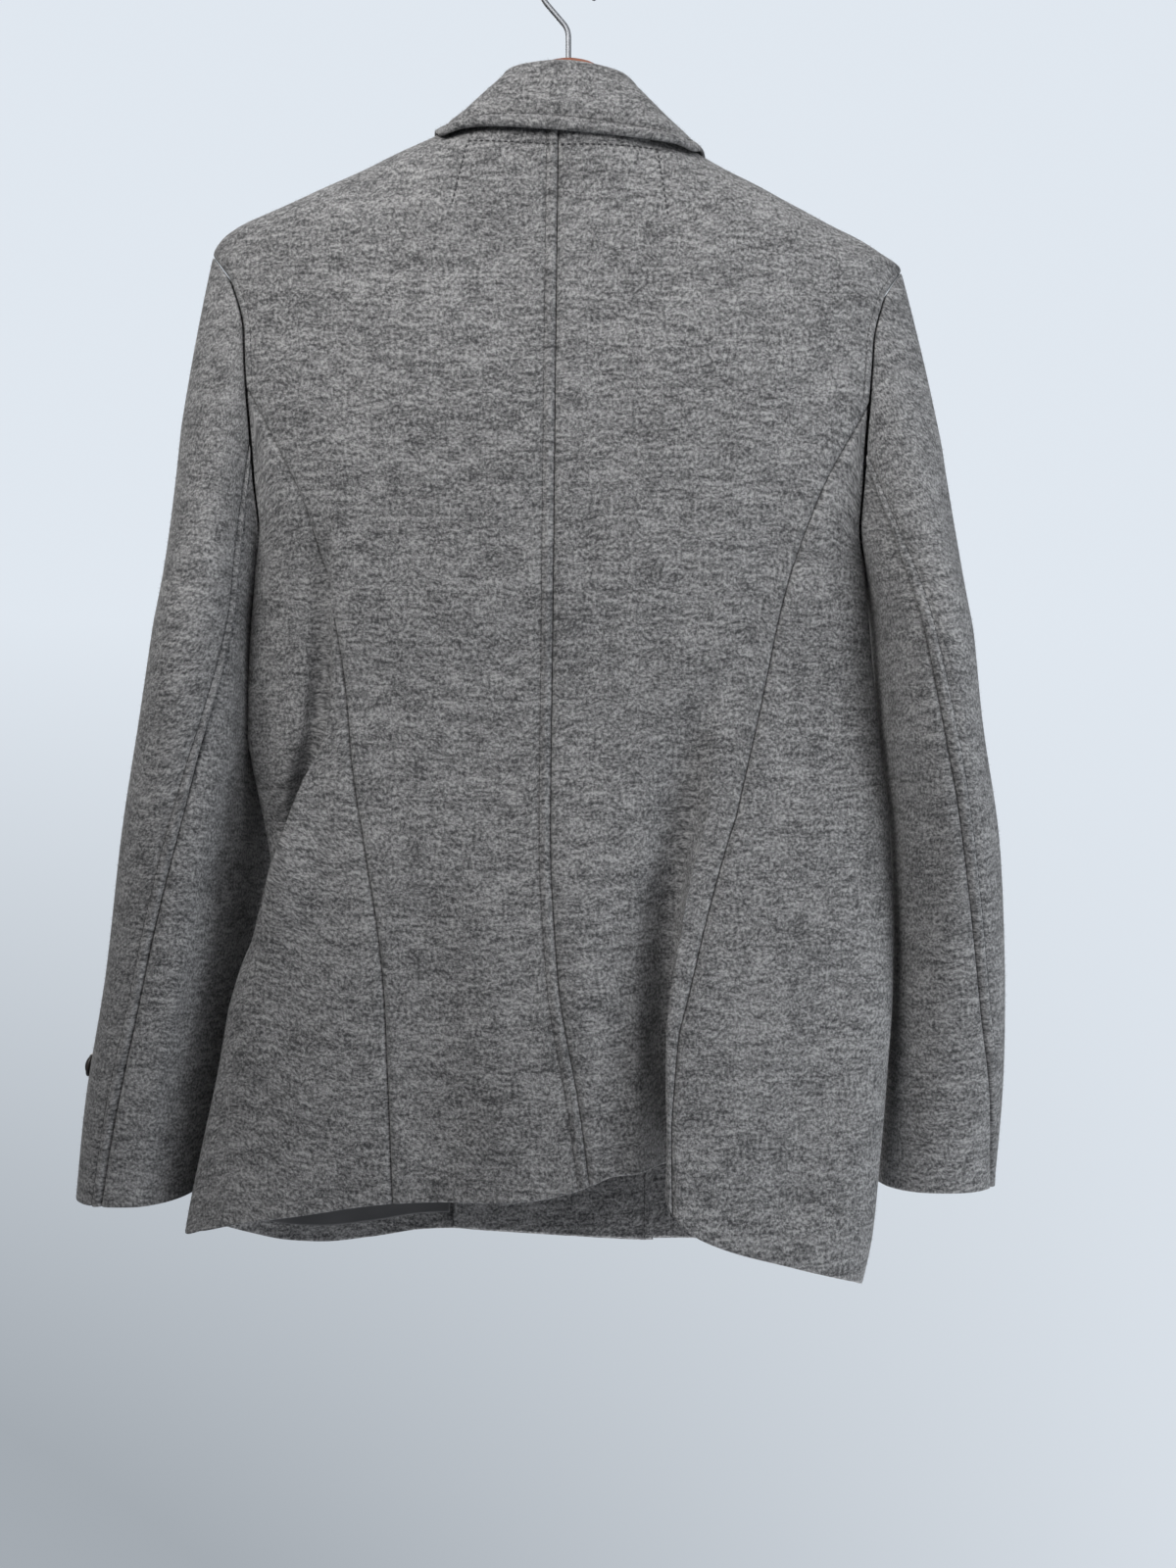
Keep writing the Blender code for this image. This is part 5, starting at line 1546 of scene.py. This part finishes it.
BUTTON_RADIUS = 0.011
CUFF_BUTTON_RADIUS = 0.0075
BUTTON_COLUMNS = {"a": 0.054, "b": -0.040}
BUTTON_HEIGHTS = (-0.265, -0.360, -0.455, -0.550)
BUTTON_SIDES = 40
BUTTON_LIFT = 0.0004
CUFF_BUTTON_SINK = 0.0002
CUFF_BUTTON = {"left": dict(height=-0.7000, turn=3.0), "right": dict(height=-0.6950, turn=-14.0)}
CUFF_TURN, CUFF_RISE = 4, 0.01      # small steps round and up a sleeve, to find its normal
# Height above its foot and radius, both in radii, from the foot over the rim to the dome.
BUTTON_PROFILE = (
    (0.00, 0.50), (0.03, 0.62), (0.08, 0.86), (0.14, 0.965), (0.22, 1.00), (0.30, 0.99),
    (0.36, 0.95), (0.39, 0.90), (0.385, 0.855), (0.37, 0.82), (0.39, 0.78), (0.46, 0.69),
    (0.54, 0.55), (0.61, 0.38), (0.655, 0.20), (0.67, 0.06),
)
# A buttonhole: its middle past the button, half sizes and squareness, points and thread's lift.
HOLE_PAST = -0.006
HOLE_HALF_WIDTH, HOLE_HALF_HEIGHT = 0.0125, 0.0011
HOLE_ROUND_ENDS, HOLE_ROUND_SIDES = 0.35, 0.6
HOLE_POINTS = 61
HOLE_LIFT = 0.0001


def make_button(name, place, normal, radius, look):
    """Domed button with a turned rim."""
    normal = unit(np.asarray(normal))
    side = unit(np.cross(normal, (0, 0, 1.0)))
    up = np.cross(side, normal)
    foot = np.asarray(place) + normal * SEAM
    c, s = around(BUTTON_SIDES)
    ring = side * c + up * s
    rings = [foot + normal * high * radius + ring * wide * radius for high, wide in BUTTON_PROFILE]
    lofted("horn_" + name, name, np.array(rings), look)


def make_buttons(looks):
    """Front buttons with their buttonholes, and a button on each cuff."""
    def front(angle, z):
        return body(angle, z, FRONT_RISE)

    t = np.linspace(0, 2 * np.pi, HOLE_POINTS)
    for column, x in BUTTON_COLUMNS.items():
        for row, z in enumerate(BUTTON_HEIGHTS):
            angle = angle_of(np.array(x), z, True) - 360
            normal = outward(front, angle, z)
            lift = float(creases(FRONT_CREASES, np.array(x), np.array(z)))
            make_button(f"button_{column}{row + 1}",
                        front(angle, z) + normal * (BUTTON_LIFT + lift), normal, BUTTON_RADIUS,
                        looks["button"])
            if column == "a":
                hole_x = x + HOLE_PAST + HOLE_HALF_WIDTH * squared(np.cos(t), HOLE_ROUND_ENDS)
                hole_z = z + HOLE_HALF_HEIGHT * squared(np.sin(t), HOLE_ROUND_SIDES)
                turn = angle_of(hole_x, hole_z, True) - 360
                path = front(turn, hole_z) + outward(front, turn, hole_z) * HOLE_LIFT
                PATHS["buttonholes"].append(path)
    for side, spot in CUFF_BUTTON.items():
        z, turn = spot["height"], spot["turn"]
        before, place, after = (sleeve_ring(side, z, np.array(turn + step))
                                for step in (-CUFF_TURN, 0, CUFF_TURN))
        above = sleeve_ring(side, z + CUFF_RISE, np.array(turn))
        normal = unit(np.cross(after - before, above - place))
        if normal[0] * SIGN[side] < 0:
            normal = -normal
        make_button("cuff_button_" + side, place - normal * CUFF_BUTTON_SINK, normal,
                    CUFF_BUTTON_RADIUS, looks["button"])


HANGER_HALF = {"left": 0.203, "right": 0.190}
HANGER_TOP = -0.061     # crown of the wood under the hook
HANGER_SEAT = 1.35 * (CLOTH + LINING_GAP + LINING + SEAM)   # wood's top below the coat's shoulder
HANGER_NECK = 0.0068    # wood's top below the neck points
# The hump under the hook: places across, its fall to the second, its rise above the last at the
# third, and the run from its end on to the arm.
HUMP_PLACES = np.array([0.0, 0.018, 0.042, 0.070])
HUMP_FALL, HUMP_RISE, HUMP_BLEND = 0.004, 0.012, 0.012
SHOULDER_FINE = 120     # heights read along a shoulder
HANGER = Table("share half_thick height", [
    (0.00, 0.0070, 0.030), (0.15, 0.0070, 0.029), (0.50, 0.0075, 0.027), (0.90, 0.0085, 0.022),
    (1.00, 0.0070, 0.014),
])
HANGER_SIDES, HANGER_STEPS = 32, 60
HANGER_ROUND = 0.75     # power that squares its section
TIP_FROM, TIP_RUN = 0.965, 0.036    # where the arm's end rounds off, in shares of its length
TIP_FLOOR, TIP_FALL = 0.3, 0.7      # share of its height kept there, and lost


def hanger_top(side, x):
    """Height of the wood's top: a hump at the hook, then along under the shoulder."""
    heights = np.linspace(NECK_REACH[1], SHOULDER[side], SHOULDER_FINE)
    widths = WIDTH(side, heights)
    order = np.argsort(widths)
    shoulder = np.interp(x, widths[order], heights[order]) - HANGER_SEAT
    neck = NECK_POINT[side] - HANGER_NECK
    tops = np.array([HANGER_TOP, HANGER_TOP - HUMP_FALL, neck + HUMP_RISE, neck])
    hump = pchip(HUMP_PLACES, tops, np.minimum(x, HUMP_PLACES[-1]))
    blend = part_way(x - HUMP_PLACES[-1], HUMP_BLEND)
    return hump * (1 - blend) + shoulder * blend


def make_hanger(looks):
    """Wooden hanger, lofted from its right end to its left."""
    shares = np.linspace(0, 1, HANGER_STEPS + 1)
    stations = [("right", s) for s in shares[:0:-1]] + [("left", s) for s in shares]
    tops = np.array([float(hanger_top(side, share * HANGER_HALF[side]))
                     for side, share in stations])
    soften(tops, 4)
    c, s = around(HANGER_SIDES, 0.5)
    c, s = squared(c[:, 0], HANGER_ROUND), squared(s[:, 0], HANGER_ROUND)
    rings = []
    for (side, share), top in zip(stations, tops):
        x = share * HANGER_HALF[side] * SIGN[side]
        half, tall = float(HANGER("half_thick", share)), float(HANGER("height", share))
        tip = math.sqrt(max(0.0, 1 - max(0.0, (share - TIP_FROM) / TIP_RUN) ** 2))
        y = half * c * tip
        z = top - tall / 2 + tall / 2 * s * (TIP_FLOOR + TIP_FALL * tip)
        rings.append(np.stack([np.full_like(y, x), y, z], axis=-1))
    lofted("wood_hanger", "hanger_body", np.array(rings), looks["wood"])


WIRE = 0.00175          # radius of the hook's wire
HOOK_RADIUS = 0.0178    # radius of the hook's centre line
HOOK_BEND = -0.0434     # height where the shank leans out
HOOK_FOOT = 0.004       # shank's foot below the wood's crown
HOOK_LEAN = math.radians(40.6)      # turn below level where the round part starts
HOOK_OVER = 205         # degrees where it ends
KNEE = 0.005            # how far below the bend the shank starts to curve
KNEE_REACH = 0.22       # share of the leaning part that the curve takes up
WIRE_SIDES = 16
WIRE_END = ((0.5, 0.86), (0.85, 0.5), (0.9, 0.12))   # rounded end: place and width, in radii


def make_hook(looks):
    """Wire hook: shank, lean to the wearer's left, then round over the rod."""
    centre = np.array([0, 0, -(HOOK_RADIUS - WIRE)])
    knee = np.array([0, 0, HOOK_BEND])

    def round_at(turn):
        return centre + HOOK_RADIUS * np.array([math.cos(turn), 0, math.sin(turn)])

    lean = round_at(-HOOK_LEAN) - knee
    path = [np.array([0, 0, z]) for z in np.linspace(HANGER_TOP - HOOK_FOOT, HOOK_BEND - KNEE, 12)]
    for t in np.linspace(0.1, 1.0, 10):
        path.append(knee + np.array([0, 0, -KNEE * (1 - t) ** 2]) + lean * KNEE_REACH * t * t)
    for t in np.linspace(0.30, 0.92, 8):
        path.append(knee + lean * t)
    for turn in np.linspace(math.degrees(-HOOK_LEAN), HOOK_OVER, 70):
        path.append(round_at(math.radians(turn)))
    path = np.array(path)
    soften(path, 3)
    along = unit(np.gradient(path, axis=0))
    rounded = [path[-1] + along[-1] * WIRE * past for past, _ in WIRE_END]
    wide = np.concatenate([np.ones(len(path)), [share for _, share in WIRE_END]])
    path = np.concatenate([path, rounded])
    along = np.concatenate([along, np.repeat(along[-1:], len(rounded), axis=0)])
    across = np.array([0, 1.0, 0])
    c, s = around(WIRE_SIDES)
    rings = [place + WIRE * share * (np.cross(way, across) * c + across * s)
             for place, way, share in zip(path, along, wide)]
    lofted("steel_hook", "hanger_hook", np.array(rings), looks["steel"])


CAMERA_PLACE = (-0.0124, 1.25, -0.5208)
CAMERA_LENS, SENSOR = 45.36, 36.0
FLOOR_LEVEL, FLOOR_RADIUS, FLOOR_SIDES = -1.60, 1.15, 96
PAINTED_SHADE_TOP, PAINTED_SHADE_SLANT, PAINTED_SHADE_RATE = 0.08, 2.6, 1.55    # where the painted shade on the wall starts, and how fast it deepens
SKY_RISE, SKY_SLANT, SKY_LEVEL = 0.60, 0.20, 0.42    # how the light from around grows upward
LAMPS = (
    dict(name="key", place=(0.42, 0.80, 0.42), aim=(0.02, 0.0, -0.21), size=0.7, power=4.75,
         spread=110, colour=(1.0, 0.985, 0.96)),
    dict(name="side", place=(-0.92, 0.36, -0.80), aim=(-0.10, 0.05, -0.66), size=0.5, power=4.2,
         spread=180, colour=(0.93, 0.97, 1.0)),
    dict(name="shoulder", place=(-0.75, 0.55, 0.25), aim=(-0.27, 0.0, -0.24), size=0.4,
         power=0.40, spread=60, colour=(0.96, 0.98, 1.0)),
    dict(name="under", place=(-0.15, -0.012, -1.10), aim=(-0.02, -0.050, -0.80), size=0.22,
         power=1.0, spread=180, colour=(0.97, 0.98, 1.0)),
    dict(name="front", place=(0.7, -2.0, 0.5), aim=(0.0, 0.0, -0.4), size=1.6, power=34,
         spread=180, colour=(1.0, 0.99, 0.97)),
)


def make_world(scene):
    """A wall with painted shade deepening towards one lower corner, and a softer light from above.
    """
    world = bpy.data.worlds.new("studio")
    scene.world = world
    world.use_nodes = True
    start = Wire(world.node_tree)
    way = start.node("ShaderNodeTexCoord", None, None, "Generated")
    x = start.node("ShaderNodeSeparateXYZ", None, {0: way}, "X")
    z = x.also("Z")
    # Painted shade on the wall that the camera sees, deepening towards one lower corner.
    painted_shade = (PAINTED_SHADE_TOP - z) * (x * PAINTED_SHADE_SLANT + 1.0) * PAINTED_SHADE_RATE
    wall = painted_shade.clamped().mix(*WALL_AND_PAINTED_SHADE_COLOURS)
    seen = start.node("ShaderNodeLightPath", None, None, "Is Camera Ray")
    high = z * SKY_RISE - x * SKY_SLANT + SKY_LEVEL
    ambient = high.clamped().mix(*AMBIENT_COLOURS)
    feed(seen.mix(ambient, wall), world.node_tree.nodes["Background"], "Color")


def make_lamp(scene, name, place, aim, size, power, spread, colour):
    """A square lamp turned towards its aim."""
    lamp = bpy.data.lights.new(name, "AREA")
    lamp.size, lamp.energy, lamp.color = size, power, colour
    lamp.spread = math.radians(spread)
    made = bpy.data.objects.new(name, lamp)
    made.location = place
    way = np.array(aim) - np.array(place)
    made.rotation_euler = (math.acos(-way[2] / np.linalg.norm(way)), 0,
                           math.atan2(way[1], way[0]) - math.pi / 2)
    scene.collection.objects.link(made)


def make_studio():
    """Camera, light and floor."""
    scene = bpy.context.scene
    scene.view_settings.view_transform = "Standard"
    eye = bpy.data.cameras.new("camera")
    eye.lens, eye.sensor_width = CAMERA_LENS, SENSOR
    eye.clip_start, eye.clip_end = 0.01, 50
    camera = bpy.data.objects.new("camera", eye)
    camera.location = CAMERA_PLACE
    camera.rotation_euler = (math.radians(90), 0, math.radians(180))
    scene.collection.objects.link(camera)
    scene.camera = camera
    make_world(scene)
    for lamp in LAMPS:
        make_lamp(scene, **lamp)

    look, start, shader = new_look("floor", Roughness=0.9)
    feed(start.form_place().speckle(6.0, 3.0).mix(*FLOOR_COLOURS), shader, "Base Color")
    t = 2 * np.pi * np.arange(FLOOR_SIDES) / FLOOR_SIDES
    mesh = bpy.data.meshes.new("floor")
    mesh.from_pydata([(FLOOR_RADIUS * math.cos(a), FLOOR_RADIUS * math.sin(a), FLOOR_LEVEL)
                      for a in t], [], [list(range(FLOOR_SIDES))])
    mesh.materials.append(look)
    floor = bpy.data.objects.new("floor", mesh)
    scene.collection.objects.link(floor)


def main():
    make_studio()
    looks = {"wool": wool_look(), "lining": lining_look(), "thread": thread_look(),
             "nap": nap_look(), "button": button_look(), "wood": wood_look(),
             "steel": steel_look()}
    for side in SIGN:
        half = Half(side)
        make_back(half, looks)
        make_front(half, looks)
    for side in SIGN:
        make_sleeve(side, looks)
    make_collar(looks)
    make_buttons(looks)
    make_hanger(looks)
    make_hook(looks)
    make_sewing(looks)
    make_nap(looks)


main()
